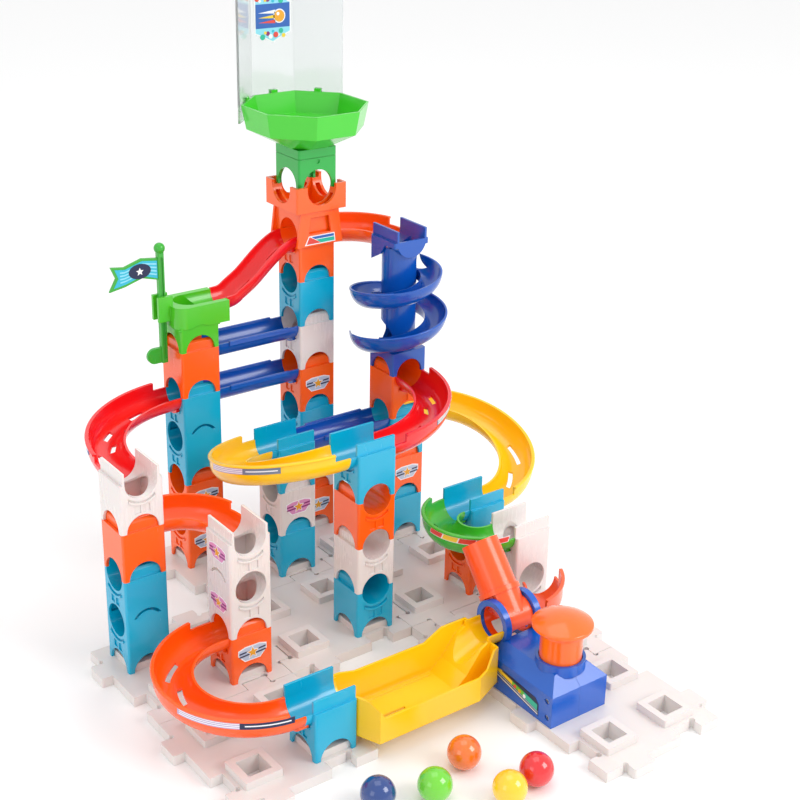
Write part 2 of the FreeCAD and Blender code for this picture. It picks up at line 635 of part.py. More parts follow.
def collecting_tray():
    """Wide low tray that gathers marbles from the last connector beside the launcher."""
    wall = TROUGH_WALL
    bottom, front_top = PLATE_T + TRAY_RISE, PLATE_T + TRAY_FRONT_H
    back_top, peak = PLATE_T + TRAY_BACK_H, PLATE_T + TRAY_PEAK_H
    mouth = cell(1, -3) + V(HALF, 0, 0)
    ring = cell(4, -3) + V(-HALF, 0, 0)
    axis_in, axis_out = level(1), level(1) + LAUNCH_RISE
    right, back = ring.x - 10, mouth.y + 0.31 * PITCH
    front, shoulder = mouth.y - 0.6 * PITCH, mouth.y - 0.4 * PITCH
    slant, left_in = right - 0.45 * PITCH, mouth.x + 0.14 * PITCH

    outline = [(mouth.x, back), (right, back), (right, shoulder), (slant, front),
               (left_in, front), (mouth.x, mouth.y - CHANNEL_R)]
    inside = [(mouth.x + wall, back - wall), (right - wall, back - wall),
              (right - wall, shoulder + wall * 0.6), (slant - wall * 0.5, front + wall),
              (left_in + wall, front + wall), (mouth.x + wall, mouth.y - CHANNEL_R + wall)]
    body = polygon_prism(outline, bottom, peak).cut(polygon_prism(inside, bottom + wall, peak + 1))

    # The rim falls from the peaks at both ends to the front, and along the back.
    rim = [(mouth.x - 1, axis_in), (mouth.x + 6, axis_in), (mouth.x + 18, back_top),
           (right - 34, back_top), (right - 20, peak), (right + 1, peak), (right + 1, peak + 9),
           (mouth.x - 1, peak + 9)]
    body = body.cut(side_prism(rim, mouth.y - 5, back + 1))
    low_rim = [(mouth.x - 1, axis_in), (mouth.x + 4, axis_in), (mouth.x + 11, front_top),
               (right - 13, front_top), (right - 5, axis_out - 4), (right + 1, axis_out - 4),
               (right + 1, peak + 9), (mouth.x - 1, peak + 9)]
    body = body.cut(side_prism(low_rim, front - 1, mouth.y - 5))

    # A ramp climbs from the floor to the spout, which ends in the launcher's ring.
    ramp = side_prism([(right - 30, bottom + wall * 0.5), (right - wall * 0.5, bottom + wall * 0.5),
                       (right - wall * 0.5, axis_out - 2), (right - 9, axis_out - 7),
                       (right - 20, bottom + 9)], ring.y - CHANNEL_R, back - wall * 0.5)
    spout = rod(CHANNEL_R, V(right - 3, ring.y, axis_out), X_AXIS, ring.x - right + 3)
    spout = spout.common(box(right - 3, ring.x, ring.y - 20, ring.y + 20, bottom, axis_out))
    slope = V(-1.0, 0, -0.42)
    bed = rod(TROUGH_R, V(right - 1, ring.y, axis_out), slope, 46)
    doorway = rod(TROUGH_R, V(right - 14, ring.y, axis_out), X_AXIS, 30)
    head_room = box(right - wall - 1, right + 1, ring.y - TROUGH_R, ring.y + TROUGH_R, axis_out,
                    peak + 9)
    entry = rod(TROUGH_R, V(mouth.x - 1, mouth.y, axis_in), X_AXIS, wall + 8)
    lip_room = smile_band(TROUGH_R + HOOK_R1 - FIT, TROUGH_R + HOOK_R1 + HOOK_LIP + FIT, -1,
                          HOOK_PROUD + FIT, 0.86)
    lip_room = moved(lip_room, V(mouth.x, mouth.y, axis_in))
    body = fuse([body, ramp, spout]).cut([bed, doorway, head_room, entry, lip_room])

    rib = box(left_in + 8, right - 32, back - wall - 4.2, back - wall - 3.0, bottom, bottom + wall + 1.0)
    slots = []
    for start, length, y in ((0.30, 17, -0.20), (0.62, 21, -0.34)):
        x = mouth.x + start * PITCH * 1.6
        slots.append(box(x, x + length, mouth.y + y * PITCH, mouth.y + y * PITCH + 1.8,
                         bottom - 1, bottom + wall + 1))
    return body.fuse(rib).cut(slots).removeSplitter()


# ---------------------------------------------------------------- spiral tower top
def spiral_tower():
    """Column with a winding channel, three levels tall, on an arched skirt."""
    height = 3 * LEVEL
    skirt_h = 0.52 * LEVEL
    skirt = rounded_square(HALF, 0, skirt_h, CORNER_R)
    skirt = skirt.cut(square(HALF - WALL, -1, skirt_h - DECK))
    skirt = skirt.cut([cross_rod(TROUGH_R, a, 0, -HALF - 1, HALF + 1) for a in ("x", "y")])
    column = rod(SPIRAL_COLUMN_R, V(0, 0, skirt_h - DECK), Z_AXIS, height - skirt_h - 5)
    cap = rounded_square(HALF, height - 4.0, height, CORNER_R)
    trough = cross_rod(CHANNEL_R, "y", height, -HALF, HALF).common(square(HALF, 0, height))
    flap = box(-HALF, -HALF + WALL, -2, HALF - 1, height - 18, height)
    flap = flap.common(side_flap_outline(height))
    walls = box(-NECK_HALF, NECK_HALF, -HALF, HALF, height - 0.2, height + NECK_RISE)
    walls = walls.cut(box(-TROUGH_R, TROUGH_R, -HALF - 1, HALF + 1, height - 1, height + 20))
    channel_mid = SPIRAL_COLUMN_R + TROUGH_R + SPIRAL_CLEAR
    start_deg, turns, fall = 20.0, SPIRAL_TURNS, LEVEL
    start_z = 2.44 * LEVEL
    steps = 20

    def path_point(share):
        angle = math.radians(start_deg - 360 * turns * share)
        widen = min(1.0, share * turns / 0.42)
        radius = channel_mid * (0.42 + 0.58 * widen * (2 - widen))
        return V(radius * math.cos(angle), radius * math.sin(angle), start_z - fall * turns * share)

    count = int(steps * turns) + 1
    points = [path_point(n / count) for n in range(count + 1)]
    radial = V(math.cos(math.radians(start_deg)), math.sin(math.radians(start_deg)), 0)
    ramp = sweep(spline_wire(points), Z_AXIS, bowl_outline(points[0], radial, Z_AXIS))
    body = fuse([skirt, column, cap, trough, walls, flap])
    bore = rod(SPIRAL_COLUMN_R - WALL, V(0, 0, -1), Z_AXIS, skirt_h + 8)
    entry = cross_rod(TROUGH_R, "y", height, -HALF + WALL, HALF + 1)
    well = rod(DROP_R, V(0, 0, start_z - 10), Z_AXIS, height)
    hollow = rod(SPIRAL_COLUMN_R - WALL, V(0, 0, skirt_h - DECK + 6), Z_AXIS,
                 start_z - skirt_h - 22)
    body = body.fuse(ramp).removeSplitter()
    first = path_point(0.02)
    window = rod(TROUGH_R - 0.3, V(0, 0, start_z + 0.5), V(first.x, first.y, 0), 24)
    last = path_point(1.0)
    exit_way = rod(TROUGH_R - 0.3, V(last.x, last.y, last.z), V(-last.x, -last.y, 0), 24)
    return body.cut([bore, entry, well, hollow, window, exit_way])


def bowl_outline(at, side, up):
    """Section of the spiral's channel: shallow inside, an upright rim outside."""
    inner, outer = TROUGH_R, CHANNEL_R

    def point(u, v):
        return at + side * u + up * v
    edges = [Part.Arc(point(inner, 0), point(0, -inner), point(-inner, 0)).toShape(),
             Part.makeLine(point(-inner, 0), point(-outer, 0)),
             Part.Arc(point(-outer, 0), point(0, -outer), point(outer, 0)).toShape(),
             Part.makeLine(point(outer, 0), point(inner, 0))]
    return Part.Wire(edges)


def side_flap_outline(height):
    points = [(-2, height), (-2, height - 5), (3, height - 12), (HALF - 1, height - 18),
              (HALF - 1, height)]
    face = Part.Face(Part.makePolygon([V(-HALF, y, z) for y, z in points + points[:1]]))
    return face.extrude(V(WALL, 0, 0))


# ---------------------------------------------------------------- green end piece and flag
def end_piece():
    """Catching piece on tower G: a U-shaped well open towards +X, with ears for the flag."""
    skirt_top = 0.52 * LEVEL
    top = LEVEL - 0.8
    base = rounded_square(HALF, 0, skirt_top + 1, CORNER_R).cut(square(HALF - WALL, -1, LEVEL))
    base = base.cut([cross_rod(TROUGH_R, a, 0, -HALF - 1, HALF + 1) for a in ("x", "y")])
    head = box(-HALF - 2, HALF + END_REACH, -HALF - 1, HALF + 1, skirt_top, top)
    left = [e for e in head.Edges if is_upright(e) and e.CenterOfMass.x < 0]
    head = head.makeFillet(8.0, left)
    head = head.cut([cross_rod(TROUGH_R, "x", LEVEL, 0, HALF + END_REACH + 1),
                     rod(TROUGH_R, V(0, 0, skirt_top - 1), Z_AXIS, LEVEL),
                     square(HALF - WALL, skirt_top - 1, skirt_top + 2)])
    band = box(-HALF - 3, HALF + 3, -HALF - 0.9, HALF + 0.9, skirt_top - 1.2, skirt_top)
    band = band.common(box(-HALF - 0.9, HALF + 0.9, -HALF, HALF, 0, LEVEL))
    arch = cross_rod(TROUGH_R + 1.5, "y", 6.5, -HALF - 2, HALF + 2)
    arch = arch.common(box(-HALF, HALF, -HALF - 1, HALF + 1, skirt_top, LEVEL))
    head = head.cut(arch.cut(square(HALF, 0, LEVEL)))
    ears = []
    pivot_x, pivot_z = flag_pivot()
    for side in (-1, 1):
        y = side * (POLE_T / 2 + 0.5 + 1.2)
        ear = box(pivot_x - 5, -HALF, y - 1.2, y + 1.2, pivot_z - 13, pivot_z + 5)
        ears.append(ear)
    pin = rod(PIN_R, V(pivot_x, -POLE_T / 2 - 2.9, pivot_z), Y_AXIS, POLE_T + 5.8)
    return fuse([base, head, band] + ears + [pin])


def flag_pivot():
    """Flag hinge in the end piece's own coordinates: x, height above its feet."""
    return -HALF - FLAG_GAP, LEVEL * 1.04


def flag_lever():
    """Pole with a ball, a paddle and a swallow-tailed flag, hinged on the end piece."""
    px, pz = flag_pivot()
    top, bottom = pz + 1.08 * LEVEL, pz - 1.3 * LEVEL
    half = POLE_T / 2
    pole = fillet_upright(box(px - half, px + half, -half, half, bottom, top), 0.8)
    groove = box(px - 1.0, px + 1.0, -half - 1, -half + 1.0, bottom + 3, pz - 5)
    upper_groove = box(px - 1.0, px + 1.0, -half - 1, -half + 1.0, pz + 5, top - 4)
    pole = pole.cut([groove, upper_groove])
    ball = Part.makeSphere(3.9, V(px, 0, top + 2.2))
    paddle = rod(5.6, V(px - half - 5.0, -1.3, bottom + 5.8), Y_AXIS, 2.6)
    arm = box(px - half - 5, px, -1.3, 1.3, bottom + 0.2, bottom + 11.4)
    flag = side_prism([(px, top - 4.5), (px - 14, top - 2.6), (px - 27, top - 6.6),
                       (px - 37, top - 5.2), (px - 33.5, top - 13.6), (px - 38.5, top - 22.5),
                       (px - 27, top - 20.5), (px - 14, top - 16.6), (px, top - 20.5)], -0.9, 0.9)
    body = fuse([pole, ball, paddle, arm, flag])
    return body.cut(rod(PIN_R + PIN_PLAY, V(px, -10, pz), Y_AXIS, 20))


# ---------------------------------------------------------------- funnel


def junction():
    """Double block under the funnel: marbles leave on both sides at level 7."""
    lower = storey("x", ("+x", "-x"), has_neck=False)
    wall_top = 2 * LEVEL
    upper = rounded_square(HALF, LEVEL, wall_top - 0.4 * LEVEL, CORNER_R)
    upper = upper.cut(square(HALF - WALL, LEVEL - 1, wall_top))
    upper = upper.cut(cross_rod(TROUGH_R, "x", LEVEL, -HALF - 1, HALF + 1))
    shade_y = -HALF - 3.5
    shade = []
    for side in (1, -1):
        plate_ = trapezoid_front(shade_y * side, side)
        shade.append(plate_)
    crown_low, crown_top = wall_top - 0.44 * LEVEL, wall_top + 3.6
    crown = rounded_square(CROWN_HALF, crown_low, crown_top, 1.2)
    crown = crown.cut(square(CROWN_HALF - 2.2, wall_top, crown_top + 1))
    crown = crown.cut(square(HALF - WALL, crown_low - 1, crown_top))
    pocket = square(CROWN_HALF - 2.2, crown_low - 1, wall_top - 4)
    crown = crown.cut(pocket.cut(square(HALF, 0, 3 * LEVEL)))
    scallops = [cross_rod(TROUGH_R + 0.8, a, wall_top + 1.2, -CROWN_HALF - 1, CROWN_HALF + 1)
                for a in ("x", "y")]
    crown = crown.cut(scallops)
    inner_cut = rod(DROP_R, V(0, 0, LEVEL), Z_AXIS, 2 * LEVEL)
    return fuse([lower, upper, crown] + shade).cut(inner_cut)


def trapezoid_front(y, side):
    """Decorative flared plate with a window, on the junction's front or back."""
    low, high = 0.80 * LEVEL, 1.60 * LEVEL
    outline = [(-HALF - 4.2, low), (HALF + 4.2, low), (HALF + 0.6, high), (-HALF - 0.6, high)]
    window = [(-9.5, low + 9), (9.5, low + 9), (7.6, high - 6), (-7.6, high - 6)]
    depth = 2.0
    y0 = min(y, y + side * depth)
    plate_ = side_prism(outline, y0, y0 + depth).cut(side_prism(window, y0 - 1, y0 + depth + 1))
    legs = []
    for x in (-HALF + 0.2, HALF - 2.2):
        ya, yb = sorted((y + side * 0.2, side * -HALF + side * 0.6))
        legs.append(box(x, x + 2.0, min(ya, yb), max(ya, yb), low + 2, high - 2))
    return fuse([plate_] + legs)


def funnel_stem():
    """Hollow arched stem that the bowl stands on; a seam ring marks its top collar."""
    top = BOWL_BASE * LEVEL
    stem = rounded_square(STEM_HALF, 0, top, CORNER_R)
    stem = stem.cut(square(STEM_HALF - WALL, -1, top - DECK))
    stem = stem.cut(rod(DROP_R, V(0, 0, 0), Z_AXIS, top + 1))
    stem = stem.cut([cross_rod(TROUGH_R + 0.6, a, 2.4, -STEM_HALF - 1, STEM_HALF + 1)
                     for a in ("x", "y")])
    seam = rounded_square(STEM_HALF + 1, top * 0.77, top * 0.77 + 0.5, CORNER_R)
    seam = seam.cut(rounded_square(STEM_HALF - 0.5, top * 0.7, top, CORNER_R))
    screw_seat = rod(1.5, V(0, -STEM_HALF - 1, top * 0.68), Y_AXIS, 1.9)
    return stem.cut([seam, screw_seat])


def octagon(corner_r, z):
    return [V(corner_r * math.cos(math.radians(22.5 + 45 * n)),
              corner_r * math.sin(math.radians(22.5 + 45 * n)), z) for n in range(8)]


def octagon_loft(sections):
    """Solid through octagons given as (corner radius, height)."""
    wires = []
    for corner_r, z in sections:
        points = octagon(corner_r, z)
        wires.append(Part.makePolygon(points + points[:1]))
    return Part.makeLoft(wires, True, True)


def funnel_bowl():
    """Eight-sided bowl with a sloping floor and a central drop hole, feet plane at 0."""
    foot = STEM_HALF / math.cos(math.radians(22.5)) + 0.8
    z1, z2 = BOWL_CONE_H, BOWL_CONE_H + BOWL_WALL_H
    outer = octagon_loft([(foot, 0), (BOWL_R - 3.5, z1), (BOWL_R, z2)])
    inner = octagon_loft([(DROP_R, BOWL_WALL), (BOWL_R - 3.5 - BOWL_WALL, z1 + BOWL_WALL),
                          (BOWL_R - BOWL_WALL * 0.9, z2 + 0.01)])
    bowl = outer.cut(inner).cut(rod(DROP_R, V(0, 0, -1), Z_AXIS, 20))
    rim_flats = (BOWL_R + BOARD_GAP) * math.cos(math.radians(22.5))
    loops = []
    for angle in (45, 90, 135):
        loop = box(rim_flats - 1.6, rim_flats + BOARD_T + 1.8, -2.5, 2.5, z2 - 3, z2 + 2.2)
        groove = box(rim_flats - 0.1, rim_flats + BOARD_T + 0.1, -3, 3, z2 - 2, z2 + 3)
        loops.append(turn(loop.cut(groove), angle))
    return fuse([bowl] + loops)


def backboard():
    """Clear folded screen round the back three sides of the bowl, in the bowl's own frame."""
    z0 = BOWL_CONE_H + BOWL_WALL_H - 13
    seat = BOWL_CONE_H + BOWL_WALL_H - 2
    top = BOWL_CONE_H + BOWL_WALL_H + BOARD_RISE
    inner = prism_octagon(BOWL_R + BOARD_GAP, z0 - 1, top + 1)
    outer = prism_octagon(BOWL_R + BOARD_GAP + BOARD_T / math.cos(math.radians(22.5)), z0, top)
    shell = outer.cut(inner)
    wedge = []
    reach = 3 * BOWL_R
    for angle in (22.5, 157.5):
        a = math.radians(angle)
        wedge.append((reach * math.cos(a), reach * math.sin(a)))
    keep = [(0, 0), wedge[0], (0, 2 * reach), wedge[1]]
    shell = shell.common(polygon_prism(keep, z0 - 1, top + 1))
    cuts = []
    for angle, sign in ((45, -1), (135, 1)):
        flat = (BOWL_R + BOARD_GAP) * math.cos(math.radians(22.5))
        half_side = BOWL_R * math.sin(math.radians(22.5)) + 1.2
        clip = [(sign * half_side, top - 15), (sign * (half_side + 3), top - 15),
                (sign * (half_side + 3), top + 1), (sign * (half_side - 11), top + 1)]
        face = Part.Face(Part.makePolygon([V(flat - 3, y, z) for y, z in clip + clip[:1]]))
        cuts.append(turn(face.extrude(V(BOARD_T + 6, 0, 0)), angle))
    for angle in (90,):
        flat = (BOWL_R + BOARD_GAP) * math.cos(math.radians(22.5))
        cuts.append(turn(box(flat - 3, flat + 5, -14, 14, z0 - 1, seat - 1.5), angle))
    for angle in (45, 90, 135):
        flat = (BOWL_R + BOARD_GAP) * math.cos(math.radians(22.5))
        cuts.append(turn(box(flat - 3, flat + 5, -2.8, 2.8, z0 - 1, seat), angle))
    return shell.cut(cuts)


def prism_octagon(corner_r, z0, z1):
    return polygon_prism([(p.x, p.y) for p in octagon(corner_r, 0)], z0, z1)


# ---------------------------------------------------------------- launcher
# Its own coordinates: middle of grid cell (4, -3), plates' top at z = 0, cross tube along X.


def frustum(half_w, y0, y1, z0, z1, z2, slope):
    """Upright box to z1 whose upper part slopes in to z2 on three sides."""
    base = box(-half_w, half_w, y0, y1, z0, z1)
    low = [V(-half_w, y0, z1), V(half_w, y0, z1), V(half_w, y1, z1), V(-half_w, y1, z1)]
    high = [V(-half_w + slope, y0 + slope, z2), V(half_w - slope, y0 + slope, z2),
            V(half_w - slope, y1, z2), V(-half_w + slope, y1, z2)]
    loft = Part.makeLoft([Part.makePolygon(low + low[:1]), Part.makePolygon(high + high[:1])],
                         True, True)
    return base.fuse(loft).removeSplitter()


def housing():
    """Whole launcher housing before it is parted into its two shells."""
    body = frustum(LAUNCH_W / 2, BODY_FRONT, BODY_BACK, 0, LAUNCH_SIDE_H, LAUNCH_TOP_H,
                   LAUNCH_SLOPE)
    cavity = frustum(LAUNCH_W / 2 - SHELL, BODY_FRONT + SHELL, BODY_BACK - SHELL, CAVITY_FLOOR,
                     LAUNCH_SIDE_H - 0.6, LAUNCH_TOP_H - SHELL, LAUNCH_SLOPE)
    collar = rod(BUTTON_R + BUTTON_PLAY + SHELL, V(0, BUTTON_Y, LAUNCH_TOP_H - 3), Z_AXIS,
                 COLLAR_TOP - LAUNCH_TOP_H + 3)
    bore = rod(BUTTON_R + BUTTON_PLAY, V(0, BUTTON_Y, CAVITY_FLOOR + 8), Z_AXIS, 60)
    bridge = box(-HALF, HALF, BODY_BACK - 6, -TUBE_OUT_R * 0.72, 0, 30)
    pillars = []
    for x in (-HALF, HALF - RING_T):
        ring = rod(TUBE_OUT_R, V(x, 0, TUBE_Z), X_AXIS, RING_T)
        leg = box(x, x + RING_T, -TUBE_OUT_R * 0.8, TUBE_OUT_R * 0.8, 0, TUBE_Z - 9)
        pillars += [ring, leg]
    solid = fuse([body, collar, bridge] + pillars)
    tube = rod(TROUGH_R, V(-HALF - 1, 0, TUBE_Z), X_AXIS, BLOCK + 2)
    tunnel = box(-7.5, 7.5, BODY_BACK - 8, 30, CAVITY_FLOOR, 28)
    hub_room = rod(HUB_R + 0.5, V(-HUB_HALF - 0.4, 0, TUBE_Z), X_AXIS, 2 * HUB_HALF + 0.8)
    trunnion_room = rod(TRUNNION_R + PIN_PLAY, V(-HUB_HALF - 2.4, 0, TUBE_Z), X_AXIS,
                        2 * HUB_HALF + 4.8)
    solid = solid.cut([cavity, bore, tube, tunnel, hub_room, trunnion_room])
    for j in (0, -1):
        pocket = moved(square(FRAME_HALF + 0.4, -1, FRAME_RISE + 0.5), V(0, j * PITCH, 0))
        solid = solid.cut(pocket)
    pin_hole = rod(PIN_R, V(-12, HAMMER_Y, HAMMER_Z), X_AXIS, 24)
    bosses = [rod(3.4, V(x, HAMMER_Y, HAMMER_Z), X_AXIS, 14.0) for x in (-22.0, 8.0)]
    solid = solid.fuse(bosses)
    seats = [rod(1.9, V(-LAUNCH_W / 2 - 1, y, z), X_AXIS, 3.0) for y, z in SCREW_SPOTS]
    return solid.cut([pin_hole] + seats).removeSplitter()




def housing_half(sign):
    whole = housing()
    x0, x1 = sorted((0.03 * sign, sign * 60))
    half = whole.common(box(x0, x1, -200, 200, -5, 120))
    return Part.makeCompound([max(half.Solids, key=lambda s: s.Volume)])


def launcher_screws():
    """Cross-head screws sunk in the left shell."""
    screws = []
    for y, z in SCREW_SPOTS:
        head = rod(1.7, V(-LAUNCH_W / 2 + 0.9, y, z), X_AXIS, 1.05)
        slots = [box(-LAUNCH_W / 2 + 0.5, -LAUNCH_W / 2 + 1.4, y - 1.1, y + 1.1, z - 0.25, z + 0.25),
                 box(-LAUNCH_W / 2 + 0.5, -LAUNCH_W / 2 + 1.4, y - 0.25, y + 0.25, z - 1.1, z + 1.1)]
        screws.append(head.cut(slots))
    return Part.makeCompound(screws)


def button():
    """Mushroom button: hollow stem, domed cap."""
    cap_low = BUTTON_TOP - 8.5
    stem = rod(BUTTON_R, V(0, BUTTON_Y, STEM_FOOT), Z_AXIS, cap_low - STEM_FOOT + 1)
    flare = Part.makeCone(BUTTON_R, BUTTON_R + 1.6, 5.0, V(0, BUTTON_Y, cap_low - 4.5), Z_AXIS)
    crown = BUTTON_TOP - cap_low - 2.6
    dome_r = (BUTTON_CAP_R ** 2 + crown ** 2) / (2 * crown)
    dome = Part.makeSphere(dome_r, V(0, BUTTON_Y, BUTTON_TOP - dome_r))
    cap = rod(BUTTON_CAP_R, V(0, BUTTON_Y, cap_low), Z_AXIS, BUTTON_TOP - cap_low).common(dome)
    cap = cap.makeFillet(1.2, [e for e in cap.Edges if e.Length > 6 * BUTTON_CAP_R])
    hollow = rod(BUTTON_R - 2.0, V(0, BUTTON_Y, STEM_FOOT + 2.0), Z_AXIS, cap_low - STEM_FOOT - 3)
    return fuse([stem, flare, cap]).cut(hollow)


def spring():
    """Return spring between the housing floor and the button's foot."""
    wire_r, coil_r, turns, steps = 0.6, 7.5, 4, 12
    low, high = CAVITY_FLOOR + wire_r, STEM_FOOT - wire_r
    points = []
    for n in range(turns * steps + 1):
        angle = 2 * math.pi * n / steps
        points.append(V(coil_r * math.cos(angle), BUTTON_Y + coil_r * math.sin(angle),
                        low + (high - low) * n / (turns * steps)))
    section = []
    for n in range(9):
        angle = math.radians(45 * n)
        section.append(points[0] + V(wire_r * math.cos(angle), 0, wire_r * math.sin(angle)))
    return sweep(spline_wire(points), Z_AXIS, Part.makePolygon(section))


def barrel():
    """Tilting launch tube with the hub that turns inside the cross tube's rings."""
    aim = math.radians(BARREL_ANGLE)
    aim_dir = V(0, math.cos(aim), math.sin(aim))
    outer = TROUGH_R + BARREL_WALL
    root = TUBE_OUT_R + 0.5
    tube = Part.makeCone(outer + 0.5, outer, BARREL_REACH - root, aim_dir * root, aim_dir)
    collar = rod(outer + 1.7, aim_dir * root, aim_dir, 3.4)
    throat = rod(outer + 0.5, V(0, 0, 0), aim_dir, root + 1)
    throat = throat.common(box(-HUB_HALF, HUB_HALF, -60, 60, -60, 60))
    hub = rod(HUB_R, V(-HUB_HALF, 0, 0), X_AXIS, 2 * HUB_HALF)
    trunnions = rod(TRUNNION_R, V(-HUB_HALF - 2.0, 0, 0), X_AXIS, 2 * HUB_HALF + 4.0)
    body = fuse([tube, collar, throat, hub, trunnions])
    bore = rod(TROUGH_R, aim_dir * -2, aim_dir, BARREL_REACH + 4)
    passage = rod(TROUGH_R, V(-HALF, 0, 0), X_AXIS, BLOCK)
    return moved(body.cut([bore, passage, polygon_slot(-HUB_R - 3)]), V(0, 0, TUBE_Z))


def polygon_slot(low):
    """Wedge below the hub's axis, wide enough for the hammer at every tilt."""
    return side_turned([(0, 0), (low * 1.2, low * 0.2), (low * 1.2, low * 1.3),
                        (-low * 0.75, low * 1.3), (-low * 0.75, low * 0.5)])


def side_turned(points):
    """Prism along X on an outline of (y, z) points."""
    half = HUB_HALF - 2.6
    face = Part.Face(Part.makePolygon([V(-half, y, z) for y, z in points + points[:1]]))
    return face.extrude(V(2 * half, 0, 0))


def scoop():
    """Curved loading scoop on the far end of the cross tube, open towards tower J."""
    radius = PITCH - HALF
    centre = V(HALF, radius, TUBE_Z)
    start = centre + V(0, -radius, 0)
    outline = channel_outline(start, V(0, -1, 0), Z_AXIS, 0, 0)
    body = Part.Face(outline).revolve(centre, Z_AXIS, 74)
    rim_at = turn(Part.Vertex(start), 8, centre).Point
    radial = (rim_at - centre).normalize()
    wall = wall_outline(rim_at, radial, Z_AXIS, RIM_RISE + 5.0)
    rim = Part.Face(wall).revolve(centre, Z_AXIS, 56)
    foot = box(HALF + 14, HALF + 24, -2, 6, 0, TUBE_Z - TROUGH_R - 0.8)
    foot = foot.cut(rod(TROUGH_R + 0.8, centre + V(0, -radius, 0), X_AXIS, 40))
    peg_room = moved(square(FRAME_HALF + 0.4, -1, FRAME_RISE + 0.5), V(PITCH, 0, 0))
    return fuse([body, rim]).fuse(foot.cut(peg_room)).removeSplitter()


def hammer():
    """Rocker that the button's stem pushes down and that knocks the marble up the barrel."""
    y, z = HAMMER_Y, HAMMER_Z
    tail = box(-5, 5, BUTTON_Y + 8.9, y + 2, z - 1.8, z + 0.2)
    nose = box(-4, 4, y - 2, -1.5, z - 1.8, z + 0.6)
    tip = box(-4, 4, -5.5, -1.5, z - 1.8, z + 4.4)
    boss = rod(3.4, V(-7.4, y, z), X_AXIS, 14.8)
    return fuse([tail, nose, tip, boss]).cut(rod(PIN_R + PIN_PLAY, V(-10, y, z), X_AXIS, 20))


def hammer_pin():
    return rod(PIN_R, V(-12, HAMMER_Y, HAMMER_Z), X_AXIS, 24)


# ---------------------------------------------------------------- marbles
MARBLE_SPOTS = {"orange": (2.27, -4.24), "green": (1.60, -4.52), "yellow": (2.30, -5.08),
                "red": (2.79, -5.0), "blue": (0.95, -4.26)}


def marble(i, j):
    return Part.makeSphere(MARBLE_D / 2, cell(i, j) + V(0, 0, MARBLE_D / 2))


# ---------------------------------------------------------------- assembly
def build():
    nodes = {"base_plates": base_plates()}
    nodes.update(tower_nodes())
    nodes.update(track_nodes())
    nodes["spiral_tower"] = moved(spiral_tower(), cell(5, 1) + V(0, 0, level(4)))
    nodes["end_piece"] = moved(end_piece(), cell(2, 2) + V(0, 0, level(5)))
    nodes["flag_lever"] = moved(flag_lever(), cell(2, 2) + V(0, 0, level(5)))
    nodes["junction_block"] = moved(junction(), cell(4, 2) + V(0, 0, level(6)))
    stem_at = cell(4, 2) + V(0, 0, level(CROWN_SEAT))
    bowl_at = stem_at + V(0, 0, BOWL_BASE * LEVEL)
    nodes["funnel_stem"] = moved(funnel_stem(), stem_at)
    nodes["funnel_bowl"] = moved(funnel_bowl(), bowl_at)
    nodes["backboard"] = moved(backboard(), bowl_at)
    launcher_at = cell(4, -3) + V(0, 0, PLATE_T)
    nodes["launcher_shell_left"] = moved(housing_half(-1), launcher_at)
    nodes["launcher_shell_right"] = moved(housing_half(1), launcher_at)
    nodes["launcher_screws"] = moved(launcher_screws(), launcher_at)
    nodes["launcher_button"] = moved(button(), launcher_at)
    nodes["launcher_spring"] = moved(spring(), launcher_at)
    nodes["launcher_barrel"] = moved(barrel(), launcher_at)
    nodes["launcher_scoop"] = moved(scoop(), launcher_at)
    nodes["launcher_hammer"] = moved(hammer(), launcher_at)
    nodes["launcher_hammer_pin"] = moved(hammer_pin(), launcher_at)
    for colour, spot in MARBLE_SPOTS.items():
        nodes["marble_" + colour] = marble(*spot)
    return nodes


os.makedirs("parts", exist_ok=True)
for name, shape in build().items():
    solids = shape.Solids
    volume = sum(s.Volume for s in solids)
    print(f"{name}: {len(solids)} solid(s), {volume / 1000:.2f} cm3, valid {shape.isValid()}")
    whole = solids[0] if len(solids) == 1 else Part.makeCompound(solids)
    whole.exportStep("parts/" + name + ".step")
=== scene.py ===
import json
import logging
import math
from dataclasses import dataclass, field
from enum import Enum
from typing import Callable, Iterable, Sequence

import bmesh
import bpy
from mathutils import Matrix, Vector


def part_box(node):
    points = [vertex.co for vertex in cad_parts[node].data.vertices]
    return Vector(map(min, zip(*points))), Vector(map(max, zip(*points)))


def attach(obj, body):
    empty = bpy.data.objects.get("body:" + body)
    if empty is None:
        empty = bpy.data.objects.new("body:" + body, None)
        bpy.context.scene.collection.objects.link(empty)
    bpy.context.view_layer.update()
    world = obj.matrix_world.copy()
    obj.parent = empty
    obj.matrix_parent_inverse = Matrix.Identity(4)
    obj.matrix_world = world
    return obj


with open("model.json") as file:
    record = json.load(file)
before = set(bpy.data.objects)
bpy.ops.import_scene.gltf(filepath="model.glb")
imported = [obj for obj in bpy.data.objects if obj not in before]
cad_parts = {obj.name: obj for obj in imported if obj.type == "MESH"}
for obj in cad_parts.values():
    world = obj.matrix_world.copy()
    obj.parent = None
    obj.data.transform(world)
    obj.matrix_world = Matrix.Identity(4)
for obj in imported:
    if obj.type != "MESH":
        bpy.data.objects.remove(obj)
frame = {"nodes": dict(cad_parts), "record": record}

LOG = logging.getLogger("marble_run")
MM = 0.001
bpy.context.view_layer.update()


# ------------------------------------------------------------------ colour and nodes
def linear(hex_colour: str, alpha: float = 1.0) -> tuple[float, float, float, float]:
    """Turn an sRGB hex colour to linear.

    Args:
        hex_colour: Six digits after a hash sign.
        alpha: Opacity to append.

    Returns:
        Linear red, green, blue and alpha.
    """
    channels = []
    for n in (1, 3, 5):
        c = int(hex_colour[n:n + 2], 16) / 255
        channels.append(c / 12.92 if c <= 0.04045 else ((c + 0.055) / 1.055) ** 2.4)
    return (*channels, alpha)


